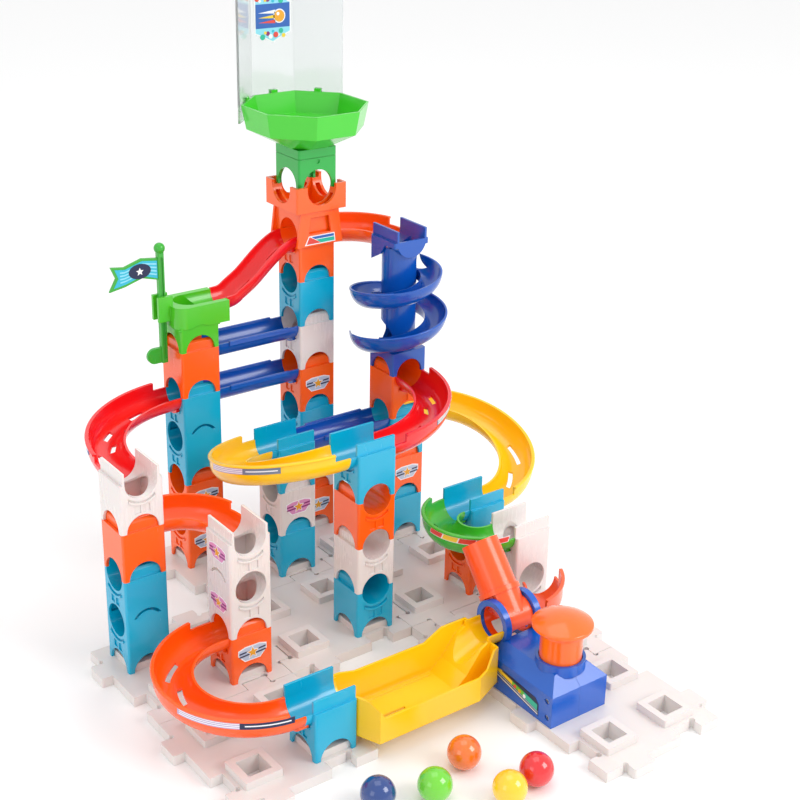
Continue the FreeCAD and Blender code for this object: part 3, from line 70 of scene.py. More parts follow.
def add(tree: bpy.types.NodeTree, kind: str, settings: dict | None = None,
        links: dict | None = None) -> bpy.types.Node:
    """Add one node to a tree.

    Args:
        tree: Tree that gets the node.
        kind: The node's type name.
        settings: Attribute names or input names, with their values.
        links: Input names or numbers, with the output socket that feeds each.

    Returns:
        The new node.
    """
    node = tree.nodes.new(kind)
    for key, value in (settings or {}).items():
        if isinstance(key, int) or key in node.inputs:
            node.inputs[key].default_value = value
        else:
            setattr(node, key, value)
    for key, socket in (links or {}).items():
        tree.links.new(socket, node.inputs[key])
    return node


class Side(Enum):
    """The four upright sides of a block, by the angle that each faces."""

    RIGHT = 0
    BACK = 90
    LEFT = 180
    FRONT = 270

    @property
    def normal(self) -> Vector:
        """Outward direction."""
        a = math.radians(self.value)
        return Vector((round(math.cos(a)), round(math.sin(a)), 0))

    @property
    def along(self) -> Vector:
        """Direction to the right for someone who faces the side."""
        n = self.normal
        return Vector((-n.y, n.x, 0))


# ------------------------------------------------------------------ finishes
@dataclass(frozen=True)
class MouldedPlastic:
    """Injection-moulded ABS or polystyrene, polished tool."""

    name: str
    colour: str
    roughness: float = 0.24
    subsurface: float = 0.0
    edge_radius: float = 0.45       # moulded edges are never sharp
    peel_size: float = 3.0          # waves that a polished mould leaves, mm
    peel_height: float = 0.012
    scuff: float = 0.035            # how much handling dulls the gloss
    flow: float = 0.04              # colour drift of the pigment in the melt
    coat: float = 0.25

    def material(self) -> bpy.types.Material:
        """Build the node material."""
        mat = bpy.data.materials.new(self.name)
        mat.use_nodes = True
        tree = mat.node_tree
        tree.nodes.clear()
        base = linear(self.colour)
        where = add(tree, "ShaderNodeTexCoord").outputs["Object"]
        drift = add(tree, "ShaderNodeTexNoise", {"Scale": 1 / (38 * MM), "Detail": 2.0},
                    {"Vector": where})
        shade = add(tree, "ShaderNodeMapRange", {"To Min": 1 - self.flow, "To Max": 1 + self.flow},
                    {"Value": drift.outputs["Fac"]})
        tint = add(tree, "ShaderNodeVectorMath", {"operation": "SCALE", 0: base[:3]},
                   {"Scale": shade.outputs["Result"]})
        # Handling leaves fine, mostly straight rubs that only show in the gloss.
        turned = add(tree, "ShaderNodeMapping", {"Rotation": (0.5, 0.4, 0.9), "Scale": (1, 1, 0.12)},
                     {"Vector": where})
        rubs = add(tree, "ShaderNodeTexNoise",
                   {"Scale": 1 / (1.6 * MM), "Detail": 5.0, "Roughness": 0.65},
                   {"Vector": turned.outputs["Vector"]})
        haze = add(tree, "ShaderNodeTexNoise", {"Scale": 1 / (22 * MM), "Detail": 3.0},
                   {"Vector": where})
        mixed = add(tree, "ShaderNodeMath", {"operation": "MULTIPLY"},
                    {0: rubs.outputs["Fac"], 1: haze.outputs["Fac"]})
        rough = add(tree, "ShaderNodeMapRange",
                    {"From Min": 0.12, "From Max": 0.42, "To Min": self.roughness - self.scuff * 0.4,
                     "To Max": self.roughness + self.scuff}, {"Value": mixed.outputs["Value"]})
        rounded = add(tree, "ShaderNodeBevel", {"samples": 4, "Radius": self.edge_radius * MM})
        waves = add(tree, "ShaderNodeTexNoise", {"Scale": 1 / (self.peel_size * MM), "Detail": 1.0},
                    {"Vector": where})
        peel = add(tree, "ShaderNodeBump", {"Strength": 0.35, "Distance": self.peel_height * MM},
                   {"Height": waves.outputs["Fac"], "Normal": rounded.outputs["Normal"]})
        shader = add(tree, "ShaderNodeBsdfPrincipled",
                     {"IOR": 1.53, "Coat Weight": self.coat, "Coat Roughness": 0.08,
                      "Subsurface Weight": self.subsurface, "Subsurface Scale": 1.5 * MM},
                     {"Base Color": tint.outputs["Vector"], "Roughness": rough.outputs["Result"],
                      "Normal": peel.outputs["Normal"]})
        add(tree, "ShaderNodeOutputMaterial", links={"Surface": shader.outputs["BSDF"]})
        mat.diffuse_color = base
        return mat


@dataclass(frozen=True)
class ClearSheet:
    """Extruded clear polystyrene sheet, thermally folded."""

    name: str
    colour: str
    roughness: float = 0.12

    def material(self) -> bpy.types.Material:
        """Build the node material."""
        mat = bpy.data.materials.new(self.name)
        mat.use_nodes = True
        tree = mat.node_tree
        tree.nodes.clear()
        where = add(tree, "ShaderNodeTexCoord").outputs["Object"]
        cloud = add(tree, "ShaderNodeTexNoise", {"Scale": 1 / (30 * MM), "Detail": 3.0},
                    {"Vector": where})
        rough = add(tree, "ShaderNodeMapRange",
                    {"To Min": self.roughness * 0.6, "To Max": self.roughness * 1.4},
                    {"Value": cloud.outputs["Fac"]})
        shader = add(tree, "ShaderNodeBsdfPrincipled",
                     {"Base Color": linear(self.colour), "IOR": 1.59, "Transmission Weight": 0.86},
                     {"Roughness": rough.outputs["Result"]})
        add(tree, "ShaderNodeOutputMaterial", links={"Surface": shader.outputs["BSDF"]})
        return mat


@dataclass(frozen=True)
class PlatedSteel:
    """Zinc-plated steel: pale, with a faint drawn grain."""

    name: str
    colour: str = "#B9BCC2"
    roughness: float = 0.32

    def material(self) -> bpy.types.Material:
        """Build the node material."""
        mat = bpy.data.materials.new(self.name)
        mat.use_nodes = True
        tree = mat.node_tree
        tree.nodes.clear()
        where = add(tree, "ShaderNodeTexCoord").outputs["Object"]
        grain = add(tree, "ShaderNodeTexNoise", {"Scale": 1 / (0.5 * MM), "Detail": 4.0},
                    {"Vector": where})
        rough = add(tree, "ShaderNodeMapRange",
                    {"To Min": self.roughness * 0.7, "To Max": self.roughness * 1.3},
                    {"Value": grain.outputs["Fac"]})
        shader = add(tree, "ShaderNodeBsdfPrincipled",
                     {"Base Color": linear(self.colour), "Metallic": 1.0},
                     {"Roughness": rough.outputs["Result"]})
        add(tree, "ShaderNodeOutputMaterial", links={"Surface": shader.outputs["BSDF"]})
        return mat


@dataclass(frozen=True)
class PrintedVinyl:
    """Ink on a glossy vinyl label, with the fine dots of the print."""

    name: str
    colour: str
    roughness: float = 0.28
    metallic: float = 0.0
    dot: float = 0.45               # print dots, drawn coarse enough to show, mm

    def material(self) -> bpy.types.Material:
        """Build the node material."""
        mat = bpy.data.materials.new(self.name)
        mat.use_nodes = True
        tree = mat.node_tree
        tree.nodes.clear()
        base = linear(self.colour)
        where = add(tree, "ShaderNodeTexCoord").outputs["Object"]
        dots = add(tree, "ShaderNodeTexVoronoi", {"Scale": 1 / (self.dot * MM)}, {"Vector": where})
        shade = add(tree, "ShaderNodeMapRange", {"To Min": 1.04, "To Max": 0.93},
                    {"Value": dots.outputs["Distance"]})
        tint = add(tree, "ShaderNodeVectorMath", {"operation": "SCALE", 0: base[:3]},
                   {"Scale": shade.outputs["Result"]})
        film = add(tree, "ShaderNodeTexNoise", {"Scale": 1 / (6 * MM), "Detail": 2.0},
                   {"Vector": where})
        rough = add(tree, "ShaderNodeMapRange",
                    {"To Min": self.roughness * 0.8, "To Max": self.roughness * 1.25},
                    {"Value": film.outputs["Fac"]})
        shader = add(tree, "ShaderNodeBsdfPrincipled",
                     {"IOR": 1.5, "Metallic": self.metallic},
                     {"Base Color": tint.outputs["Vector"], "Roughness": rough.outputs["Result"]})
        add(tree, "ShaderNodeOutputMaterial", links={"Surface": shader.outputs["BSDF"]})
        return mat


class Ink(Enum):
    """Inks that the labels are printed with."""

    SILVER = PrintedVinyl("Label ink silver", "#B9C6DC", 0.3)
    PINK = PrintedVinyl("Label ink pink", "#DD93C4", 0.3)
    PLUM = PrintedVinyl("Label ink plum", "#8A1F70", 0.3)
    NAVY = PrintedVinyl("Label ink navy", "#14204A", 0.3)
    GOLD = PrintedVinyl("Label ink gold", "#E9A32A", 0.26)
    WHITE = PrintedVinyl("Label ink white", "#F4F4F6", 0.3)
    BLUE = PrintedVinyl("Label ink blue", "#2B62B4", 0.3)
    CYAN = PrintedVinyl("Label ink cyan", "#2FB9D6", 0.3)
    SKY = PrintedVinyl("Label ink sky", "#8ED8EC", 0.3)
    LIME = PrintedVinyl("Label ink lime", "#62B92C", 0.3)
    CORAL = PrintedVinyl("Label ink coral", "#E2473C", 0.3)
    MINT = PrintedVinyl("Label ink mint", "#27B89B", 0.3)
    YELLOW = PrintedVinyl("Label ink yellow", "#F2CF3A", 0.3)
    LILAC = PrintedVinyl("Label ink lilac", "#B7A6CF", 0.3)
    GREY = PrintedVinyl("Label ink grey", "#6F7C93", 0.3)


FINISHES: dict[str, object] = {
    "plate_white": MouldedPlastic("White ABS plate", "#E2DBD8", 0.30, 0.10, coat=0.15),
    "block_white": MouldedPlastic("White ABS block", "#E6DEDB", 0.26, 0.10),
    "block_teal": MouldedPlastic("Teal ABS", "#00ABD2", 0.24),
    "block_orange": MouldedPlastic("Orange ABS", "#FF5F05", 0.24, 0.06),
    "spiral_blue": MouldedPlastic("Deep blue ABS", "#0652B2", 0.20),
    "end_lime": MouldedPlastic("Lime ABS", "#4CC21E", 0.24, 0.05),
    "flag_green": MouldedPlastic("Green ABS", "#2FA82A", 0.24),
    "stem_green": MouldedPlastic("Emerald ABS", "#12A83C", 0.20),
    "funnel_green": MouldedPlastic("Lime polypropylene", "#41CC2A", 0.22, 0.08),
    "clear_screen": ClearSheet("Clear polystyrene sheet", "#F6F9FA"),
    "launcher_blue": MouldedPlastic("Royal blue ABS", "#065AC2", 0.20, coat=0.35),
    "screw_steel": PlatedSteel("Zinc-plated screw"),
    "spring_steel": PlatedSteel("Spring wire", "#A9ACB2", 0.25),
    "pin_steel": PlatedSteel("Turned pin", "#C2C5CA", 0.22),
    "button_orange": MouldedPlastic("Orange button ABS", "#FF6A12", 0.18, 0.05, coat=0.4),
    "launcher_orange": MouldedPlastic("Orange launcher ABS", "#FF5508", 0.22, 0.05),
    "hammer_white": MouldedPlastic("Acetal", "#ECEAE4", 0.4, 0.1, coat=0.0),
    "track_blue": MouldedPlastic("Deep blue track ABS", "#0652B2", 0.22),
    "track_yellow": MouldedPlastic("Yellow ABS", "#FFC90A", 0.22, 0.05),
    "track_red": MouldedPlastic("Red ABS", "#F0141A", 0.22, 0.04),
    "track_orange": MouldedPlastic("Orange track ABS", "#FF5A0A", 0.22, 0.05),
    "track_green": MouldedPlastic("Green track ABS", "#3FB52A", 0.22, 0.04),
    "marble_orange": MouldedPlastic("Orange ball", "#F0701A", 0.12, 0.05, coat=0.8),
    "marble_green": MouldedPlastic("Green ball", "#6CCB2B", 0.12, 0.05, coat=0.8),
    "marble_yellow": MouldedPlastic("Yellow ball", "#FFC81E", 0.12, 0.05, coat=0.8),
    "marble_red": MouldedPlastic("Red ball", "#E01A22", 0.12, 0.05, coat=0.8),
    "marble_blue": MouldedPlastic("Blue ball", "#123C82", 0.12, 0.02, coat=0.8),
}


class Palette:
    """Makes each finish once and hands it out by slot or by ink."""

    def __init__(self) -> None:
        """Start with nothing made."""
        self.made: dict[str, bpy.types.Material] = {}

    def of(self, finish) -> bpy.types.Material:
        """Material of a finish, made at first use."""
        if finish.name not in self.made:
            self.made[finish.name] = finish.material()
        return self.made[finish.name]

    def slot(self, name: str) -> bpy.types.Material:
        """Material of one of the record's slots."""
        return self.of(FINISHES[name])

    def ink(self, ink: Ink) -> bpy.types.Material:
        """Material of an ink."""
        return self.of(ink.value)


# ------------------------------------------------------------------ the block grid
@dataclass(frozen=True)
class Grid:
    """The square grid that every block and track stands on, as in the CAD (mm)."""

    pitch: float = 48.6
    level_height: float = 34.0
    plate: float = 7.0
    block: float = 30.0
    middle: tuple[float, float] = (2.5, -0.5)

    def cell(self, i: float, j: float, k: float | None = None) -> Vector:
        """Middle of a cell, at level k above the plates or at the underside."""
        z = 0.0 if k is None else self.plate + k * self.level_height
        return Vector(((i - self.middle[0]) * self.pitch, (j - self.middle[1]) * self.pitch, z))


GRID = Grid()
Outline = Sequence[tuple[float, float]]


def finish_mesh(bm: bmesh.types.BMesh, name: str, materials: Iterable[bpy.types.Material],
                body: str) -> bpy.types.Object:
    """Turn a bmesh in millimetres into a finished piece that rides on a body.

    Args:
        bm: Mesh in millimetres, in the frame's axes. It is freed.
        name: The piece's name.
        materials: Materials in the order of the faces' indices.
        body: CAD body that it rides on.

    Returns:
        The new object.
    """
    bmesh.ops.scale(bm, vec=(MM, MM, MM), verts=bm.verts)
    mesh = bpy.data.meshes.new(name)
    bm.to_mesh(mesh)
    bm.free()
    for mat in materials:
        mesh.materials.append(mat)
    piece = bpy.data.objects.new(name, mesh)
    bpy.context.scene.collection.objects.link(piece)
    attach(piece, body)
    LOG.info("%s on %s: %d faces", name, body, len(mesh.polygons))
    return piece


# ------------------------------------------------------------------ labels
@dataclass
class Patch:
    """One printed area of a label: its outline in the label's plane and its ink."""

    outline: Outline
    ink: Ink
    layer: int = 1


def star(radius: float, inner: float = 0.45, centre: tuple[float, float] = (0, 0)) -> Outline:
    """Outline of a five-pointed star, point up."""
    points = []
    for n in range(10):
        r = radius if n % 2 == 0 else radius * inner
        a = math.radians(90 + 36 * n)
        points.append((centre[0] + r * math.cos(a), centre[1] + r * math.sin(a)))
    return points


def disc(radius: float, centre: tuple[float, float], stretch: float = 1.0, steps: int = 20) -> Outline:
    """Outline of a disc or an oval."""
    return [(centre[0] + radius * stretch * math.cos(math.tau * n / steps),
             centre[1] + radius * math.sin(math.tau * n / steps)) for n in range(steps)]


@dataclass
class Label:
    """A thin vinyl label made of stacked patches, wrapped on any surface."""

    name: str
    body: str
    slot: str
    patches: list[Patch]
    film: float = 0.10              # thickness of each printed layer
    lift: float = 0.03

    def build(self, palette: Palette, place: Callable[[float, float, float], Vector],
              grain: float = 6.0) -> bpy.types.Object:
        """Make the label.

        Args:
            palette: Where its inks come from.
            place: Turns (right, up, out) in millimetres to a point of the frame.
            grain: Longest edge, so that a wrapped label follows its surface.

        Returns:
            The label's object.
        """
        inks: list[Ink] = []
        bm = bmesh.new()
        for patch in self.patches:
            if patch.ink not in inks:
                inks.append(patch.ink)
            flat = bmesh.new()
            ring = [flat.verts.new((x, y, 0)) for x, y in patch.outline]
            face = flat.faces.new(ring)
            if face.normal.z < 0:
                bmesh.ops.reverse_faces(flat, faces=[face])
            bmesh.ops.triangulate(flat, faces=flat.faces[:])
            for _ in range(5):
                long_edges = [e for e in flat.edges if e.calc_length() > grain]
                if not long_edges:
                    break
                bmesh.ops.subdivide_edges(flat, edges=long_edges, cuts=1)
                bmesh.ops.triangulate(flat, faces=flat.faces[:])
            flat.normal_update()
            low = self.lift + self.film * (patch.layer - 1) * 0.6
            high = self.lift + self.film * patch.layer
            self._raise(flat, bm, low, high, inks.index(patch.ink), place)
            flat.free()
        return finish_mesh(bm, self.name, [palette.ink(i) for i in inks], self.body)

    @staticmethod
    def _raise(flat: bmesh.types.BMesh, bm: bmesh.types.BMesh, low: float, high: float,
               index: int, place: Callable[[float, float, float], Vector]) -> None:
        """Copy a flat patch into bm as a closed film between two heights."""
        bottom = {v: bm.verts.new(place(v.co.x, v.co.y, low)) for v in flat.verts}
        top = {v: bm.verts.new(place(v.co.x, v.co.y, high)) for v in flat.verts}
        for face in flat.faces:
            verts = list(face.verts)
            if face.normal.z < 0:
                verts.reverse()
            for made in (bm.faces.new([top[v] for v in verts]),
                         bm.faces.new([bottom[v] for v in reversed(verts)])):
                made.material_index = index
            for a, b in zip(verts, verts[1:] + verts[:1]):
                if len(flat.edges.get((a, b)).link_faces) == 1:
                    wall = bm.faces.new([bottom[a], bottom[b], top[b], top[a]])
                    wall.material_index = index


def on_side(centre: Vector, side: Side) -> Callable[[float, float, float], Vector]:
    """Placing rule for a flat label whose middle is at centre on an upright side."""
    def place(right: float, up: float, out: float) -> Vector:
        return centre + side.along * right + Vector((0, 0, up)) + side.normal * out
    return place


def on_rim(centre: Vector, radius: float, start: float,
           fall: Callable[[float], float]) -> Callable[[float, float, float], Vector]:
    """Placing rule for a label wrapped round the outside of a curved track's wall.

    Args:
        centre: The curve's centre, at the wall's height.
        radius: Outside radius of the wall.
        start: Angle of the label's middle, in degrees.
        fall: Height lost at an angle, in millimetres.

    Returns:
        The rule.
    """
    def place(right: float, up: float, out: float) -> Vector:
        angle = start + math.degrees(right / radius)
        a = math.radians(angle)
        r = radius + out
        return centre + Vector((r * math.cos(a), r * math.sin(a), up - fall(angle)))
    return place


def badge_patches(field: Ink, bars: Ink, size: float = 21.0) -> list[Patch]:
    """Patches of the winged star badge on the blocks."""
    w, top, low = size / 2, size * 0.25, -size * 0.27
    patches = [
        Patch([(-w, top * 0.7), (-w, -0.02 * size), (-w * 0.55, low), (w * 0.55, low),
               (w, -0.02 * size), (w, top * 0.7), (w * 0.5, top), (-w * 0.5, top)], Ink.WHITE, 1),
        Patch([(-w * 0.94, top * 0.58), (-w * 0.94, 0), (-w * 0.52, low * 0.88),
               (w * 0.52, low * 0.88), (w * 0.94, 0), (w * 0.94, top * 0.58), (w * 0.5, top * 0.85),
               (-w * 0.5, top * 0.85)], field, 2)]
    for side in (-1, 1):
        for level in (0.045, -0.065):
            a, b = (level - 0.022) * size, (level + 0.03) * size
            x0, x1 = sorted((side * w * 0.22, side * w * 0.93))
            patches.append(Patch([(x0, a), (x1, a + 0.02 * size), (x1, b + 0.02 * size), (x0, b)],
                                 bars, 3))
    patches.append(Patch(star(size * 0.235), Ink.WHITE, 4))
    patches.append(Patch(star(size * 0.185), Ink.GOLD, 5))
    return patches


@dataclass
class Badges:
    """The winged star badges, one for each decorated block face."""

    # Grid cell, level of the badge's middle, side, field and bar colours.
    places: list[tuple] = field(default_factory=lambda: [
        ("b_front", (1, -1), 0.60, Side.FRONT, Ink.SILVER, Ink.NAVY),
        ("b_left_low", (1, -1), 1.62, Side.LEFT, Ink.PINK, Ink.PLUM),
        ("b_left_high", (1, -1), 2.68, Side.LEFT, Ink.PINK, Ink.PLUM),
        ("e_front", (3, 1), 1.60, Side.FRONT, Ink.PINK, Ink.PLUM),
        ("f_front", (5, 1), 1.62, Side.FRONT, Ink.SILVER, Ink.NAVY),
        ("g_front_low", (2, 2), 0.60, Side.FRONT, Ink.SILVER, Ink.NAVY),
        ("g_front_high", (2, 2), 1.66, Side.FRONT, Ink.SILVER, Ink.NAVY),
        ("h_front_low", (4, 2), 0.60, Side.FRONT, Ink.SILVER, Ink.NAVY),
        ("h_front_high", (4, 2), 3.60, Side.FRONT, Ink.SILVER, Ink.NAVY)])
    size: float = 21.0

    def build(self, palette: Palette) -> None:
        """Make every badge."""
        for name, spot, level, side, ground, bars in self.places:
            centre = GRID.cell(*spot, level) + side.normal * GRID.block / 2
            slot = "block_white" if ground is Ink.PINK else "block_orange"
            label = Label("badge_" + name, "run", slot, badge_patches(ground, bars, self.size))
            label.build(palette, on_side(centre, side))


# ------------------------------------------------------------------ rims that follow the tracks
@dataclass(frozen=True)
class Bend:
    """One curved track: its circle, the angles it runs between and how far it falls (mm)."""

    name: str
    slot: str
    middle: Vector
    radius: float
    start: float
    sweep: float
    drop: float = 0.0

    def height(self, angle: float) -> float:
        """Height lost at an angle, on the track's smooth fall."""
        share = min(1.0, max(0.0, (angle - self.start) / self.sweep))
        return self.drop * share * share * (3 - 2 * share)

    def point(self, angle: float, radius: float, up: float) -> Vector:
        """Point of the frame at an angle and a radius, up from the trough's axis."""
        a = math.radians(angle)
        return self.middle + Vector((radius * math.cos(a), radius * math.sin(a),
                                     up - self.height(angle)))


@dataclass(frozen=True)
class Trough:
    """Section of every open trough, as in the CAD (mm)."""

    inside: float = 11.2
    wall: float = 1.5
    rim_rise: float = 5.5
    rim_start: float = 9.0
    lip_reach: float = 4.6

    @property
    def outside(self) -> float:
        """Outer radius."""
        return self.inside + self.wall


TROUGH = Trough()


def bends() -> list[Bend]:
    """Every curved track of the run."""
    pitch, half = GRID.pitch, GRID.block / 2
    quarter, big = pitch - half, 2 * pitch - half
    beside = Vector((-half - TROUGH.lip_reach, 0, 0))
    return [
        Bend("orange_upper", "track_orange", GRID.cell(5, 1, 7) + Vector((-quarter, half, 0)),
             quarter, 90, -90),
        Bend("orange_lower", "track_orange", GRID.cell(1, -1, 3) + Vector((-quarter, half, 0)),
             quarter, 90, -90),
        Bend("red_left", "track_red", GRID.cell(0, 0, 4) + Vector((big, half, 0)), big, 90, 90),
        Bend("red_front", "track_red", GRID.cell(3, -1, 4) + Vector((half, big, 0)), big, 0, -90),
        Bend("orange_return", "track_orange", GRID.cell(1, -2, 1) + beside, pitch, 90, 180),
        Bend("yellow_left", "track_yellow", GRID.cell(3, 0, 4) + beside, pitch, 270, -180,
             GRID.level_height),
        Bend("yellow_right", "track_yellow", GRID.cell(5, 0, 3) + Vector((half, 0, 0)), pitch, 90,
             -180, GRID.level_height),
        Bend("green", "track_green", GRID.cell(5, -1.5, 2) + beside, pitch / 2, 90, 180)]


class BeadTree:
    """Geometry Nodes tree that rolls a round bead along a path of edges."""

    def __init__(self) -> None:
        """Build the tree once."""
        tree = bpy.data.node_groups.new("Rolled bead", "GeometryNodeTree")
        for name, kind, way in (("Path", "NodeSocketGeometry", "INPUT"),
                                ("Bead radius", "NodeSocketFloat", "INPUT"),
                                ("Spacing", "NodeSocketFloat", "INPUT"),
                                ("Sides", "NodeSocketInt", "INPUT"),
                                ("Finish", "NodeSocketMaterial", "INPUT"),
                                ("Bead", "NodeSocketGeometry", "OUTPUT")):
            tree.interface.new_socket(name, in_out=way, socket_type=kind)
        given = add(tree, "NodeGroupInput").outputs
        curve = add(tree, "GeometryNodeMeshToCurve", links={"Mesh": given["Path"]})
        even = add(tree, "GeometryNodeResampleCurve", {"mode": "LENGTH"},
                   {"Curve": curve.outputs["Curve"], "Length": given["Spacing"]})
        ring = add(tree, "GeometryNodeCurvePrimitiveCircle", {"mode": "RADIUS"},
                   {"Radius": given["Bead radius"], "Resolution": given["Sides"]})
        tube = add(tree, "GeometryNodeCurveToMesh", {"Fill Caps": True},
                   {"Curve": even.outputs["Curve"], "Profile Curve": ring.outputs["Curve"]})
        smooth = add(tree, "GeometryNodeSetShadeSmooth", {"Shade Smooth": True},
                     {"Geometry": tube.outputs["Mesh"]})
        real = add(tree, "GeometryNodeRealizeInstances",
                   links={"Geometry": smooth.outputs["Geometry"]})
        dressed = add(tree, "GeometryNodeSetMaterial",
                      links={"Geometry": real.outputs["Geometry"], "Material": given["Finish"]})
        add(tree, "NodeGroupOutput", links={"Bead": dressed.outputs["Geometry"]})
        self.tree = tree

    def run(self, name: str, paths: Sequence[Sequence[Vector]], body: str, slot: str,
            material: bpy.types.Material, radius: float, spacing: float = 1.6,
            sides: int = 10) -> bpy.types.Object:
        """Roll a bead along each path.

        Args:
            name: The piece's name.
            paths: Points of each path, in millimetres.
            body: CAD body that the bead rides on.
            slot: The record's slot that it belongs to; not used.
            material: Finish of the bead.
            radius: The bead's radius, in millimetres.
            spacing: Distance between its rings, in millimetres.
            sides: Corners of its section.

        Returns:
            The bead's object.
        """
        verts, edges = [], []
        for path in paths:
            first = len(verts)
            verts += [tuple(point * MM) for point in path]
            edges += [(first + n, first + n + 1) for n in range(len(path) - 1)]
        mesh = bpy.data.meshes.new(name + "_path")
        mesh.from_pydata(verts, edges, [])
        values = {"Bead radius": radius * MM, "Spacing": spacing * MM, "Sides": sides,
                  "Finish": material}
        return run_tree(name, mesh, self.tree, values, body)


def run_tree(name: str, mesh: bpy.types.Mesh, tree: bpy.types.NodeTree, values: dict,
                  body: str) -> bpy.types.Object:
    """Run a Geometry Nodes tree on a mesh and keep its result as a plain piece.

    Args:
        name: The piece's name.
        mesh: Mesh that the tree starts from, in metres.
        tree: The tree.
        values: Its inputs by name.
        body: CAD body that the piece rides on.

    Returns:
        The piece.
    """
    piece = bpy.data.objects.new(name, mesh)
    bpy.context.scene.collection.objects.link(piece)
    modifier = piece.modifiers.new("Nodes", "NODES")
    modifier.node_group = tree
    for item in tree.interface.items_tree:
        if item.in_out == "INPUT" and item.name in values:
            modifier[item.identifier] = values[item.name]
    graph = bpy.context.evaluated_depsgraph_get()
    made = bpy.data.meshes.new_from_object(piece.evaluated_get(graph))
    piece.modifiers.clear()
    piece.data = made
    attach(piece, body)
    LOG.info("%s on %s: %d faces", name, body, len(made.polygons))
    return piece


@dataclass
class RolledRims:
    """Rounded beads along the raised walls of the tracks and along the spiral's edge."""

    radius: float = 0.95
    below_top: float = 0.7
    step: float = 2.0               # degrees between the points of a path
    straight_cells: tuple = ((2, 2, 5), (2, 2, 4), (3, 1, 3))
    spiral_cell: tuple = (5, 1)
    spiral_radius: float = 35.35    # middle of the spiral's outer wall
    spiral_rise: float = 0.8        # bead's middle above the path of the channel
    spiral_from: float = 0.26       # shares of the path that the bead runs between
    spiral_to: float = 0.985
    spiral_turns: float = 1.62
    spiral_start: float = 20.0
    spiral_top: float = 2.44        # start of the channel above level 4, in levels

    def build(self, palette: Palette, tree: BeadTree) -> None:
        """Make every rim."""
        for bend in bends():
            tree.run("rim_" + bend.name, [self._along(bend)], "run", bend.slot,
                     palette.slot(bend.slot), self.radius)
        tree.run("rim_straights", self._straights(), "run", "track_blue",
                 palette.slot("track_blue"), self.radius * 0.9)
        tree.run("rim_spiral", [self._spiral()], "run", "spiral_blue",
                 palette.slot("spiral_blue"), self.radius)

    def _along(self, bend: Bend) -> list[Vector]:
        """Path along the top of a bend's outer wall."""
        way = math.copysign(1, bend.sweep)
        margin = math.degrees(TROUGH.rim_start / bend.radius) + 0.4
        reach = abs(bend.sweep) - 2 * margin
        count = int(reach / self.step)
        radius = bend.radius + TROUGH.outside + 0.15
        return [bend.point(bend.start + way * (margin + reach * n / count), radius,
                           TROUGH.rim_rise - self.below_top) for n in range(count + 1)]

    def _straights(self) -> list[list[Vector]]:
        """Paths along both edges of each straight track."""
        paths = []
        inset = GRID.block / 2 + TROUGH.rim_start + 0.6
        for i, j, k in self.straight_cells:
            for side in (-1, 1):
                across = Vector((0, side * (TROUGH.outside + 0.35), 0.2))
                first = GRID.cell(i, j, k) + Vector((inset, 0, 0)) + across
                last = GRID.cell(i + 2, j, k) - Vector((inset, 0, 0)) + across
                paths.append([first.lerp(last, n / 12) for n in range(13)])
        return paths

    def _spiral(self) -> list[Vector]:
        """Path along the outer edge of the spiral channel."""
        foot = GRID.cell(*self.spiral_cell, 4)
        count = 140
        points = []
        for n in range(count + 1):
            share = self.spiral_from + (self.spiral_to - self.spiral_from) * n / count
            angle = math.radians(self.spiral_start - 360 * self.spiral_turns * share)
            z = (self.spiral_top - self.spiral_turns * share) * GRID.level_height
            points.append(foot + Vector((self.spiral_radius * math.cos(angle),
                                         self.spiral_radius * math.sin(angle),
                                         z + self.spiral_rise)))
        return points


@dataclass
class RimBands:
    """Printed bands on the outer walls of the curved tracks."""

    height: float = 4.4
    low: float = -0.4

    def build(self, palette: Palette) -> None:
        """Make the bands."""
        by_name = {bend.name: bend for bend in bends()}
        # Track, angle of the band's middle and the band's patches.
        jobs = [("orange_return", 228, self._striped(74, Ink.LILAC, Ink.NAVY)),
                ("red_front", -47, self._striped(52, Ink.GREY, Ink.BLUE)),
                ("yellow_left", 197, self._striped(62, Ink.LILAC, Ink.GREY)),
                ("yellow_right", -18, self._striped(34, Ink.LILAC, Ink.GREY)),
                ("red_left", 150, self._striped(52, Ink.GREY, Ink.BLUE)),
                ("green", 222, self._blocks(62))]
        for name, middle, patches in jobs:
            bend = by_name[name]
            label = Label("band_" + name, "run", bend.slot, patches, lift=0.05)
            rule = on_rim(bend.middle, bend.radius + TROUGH.outside, middle, bend.height)
            label.build(palette, rule, grain=3.0)

    def _strip(self, x0: float, x1: float, v0: float, v1: float, ink: Ink, layer: int,
               lean: float = 0.0) -> Patch:
        """A patch between two lengths and two shares of the band's height."""
        a, b = self.low + v0 * self.height, self.low + v1 * self.height
        return Patch([(x0, a), (x1, a), (x1 + lean, b), (x0 + lean, b)], ink, layer)

    def _striped(self, length: float, field_ink: Ink, block: Ink) -> list[Patch]:
        """Band with white speed lines that end in a solid block."""
        half = length / 2
        patches = [self._strip(-half, half, 0, 1, field_ink, 1)]
        for v in (0.16, 0.44, 0.72):
            patches.append(self._strip(-half * 0.96, half * 0.3, v, v + 0.13, Ink.WHITE, 2))
        patches.append(self._strip(half * 0.12, half, 0, 1, block, 3))
        patches.append(self._strip(half * 0.2, half * 0.94, 0.42, 0.6, Ink.WHITE, 4))
        return patches

    def _blocks(self, length: float) -> list[Patch]:
        """Band of slanted warm blocks with pale gaps."""
        inks = (Ink.CORAL, Ink.YELLOW, Ink.CORAL, Ink.PLUM, Ink.CORAL)
        half, lean = length / 2, 1.6
        patches = [self._strip(-half, half - lean, 0, 1, Ink.WHITE, 1, lean)]
        step = (length - lean) / len(inks)
        for n, ink in enumerate(inks):
            x = -half + n * step
            patches.append(self._strip(x + 0.5, x + step - 0.5, 0.1, 0.9, ink, 2, lean * 0.8))
        return patches


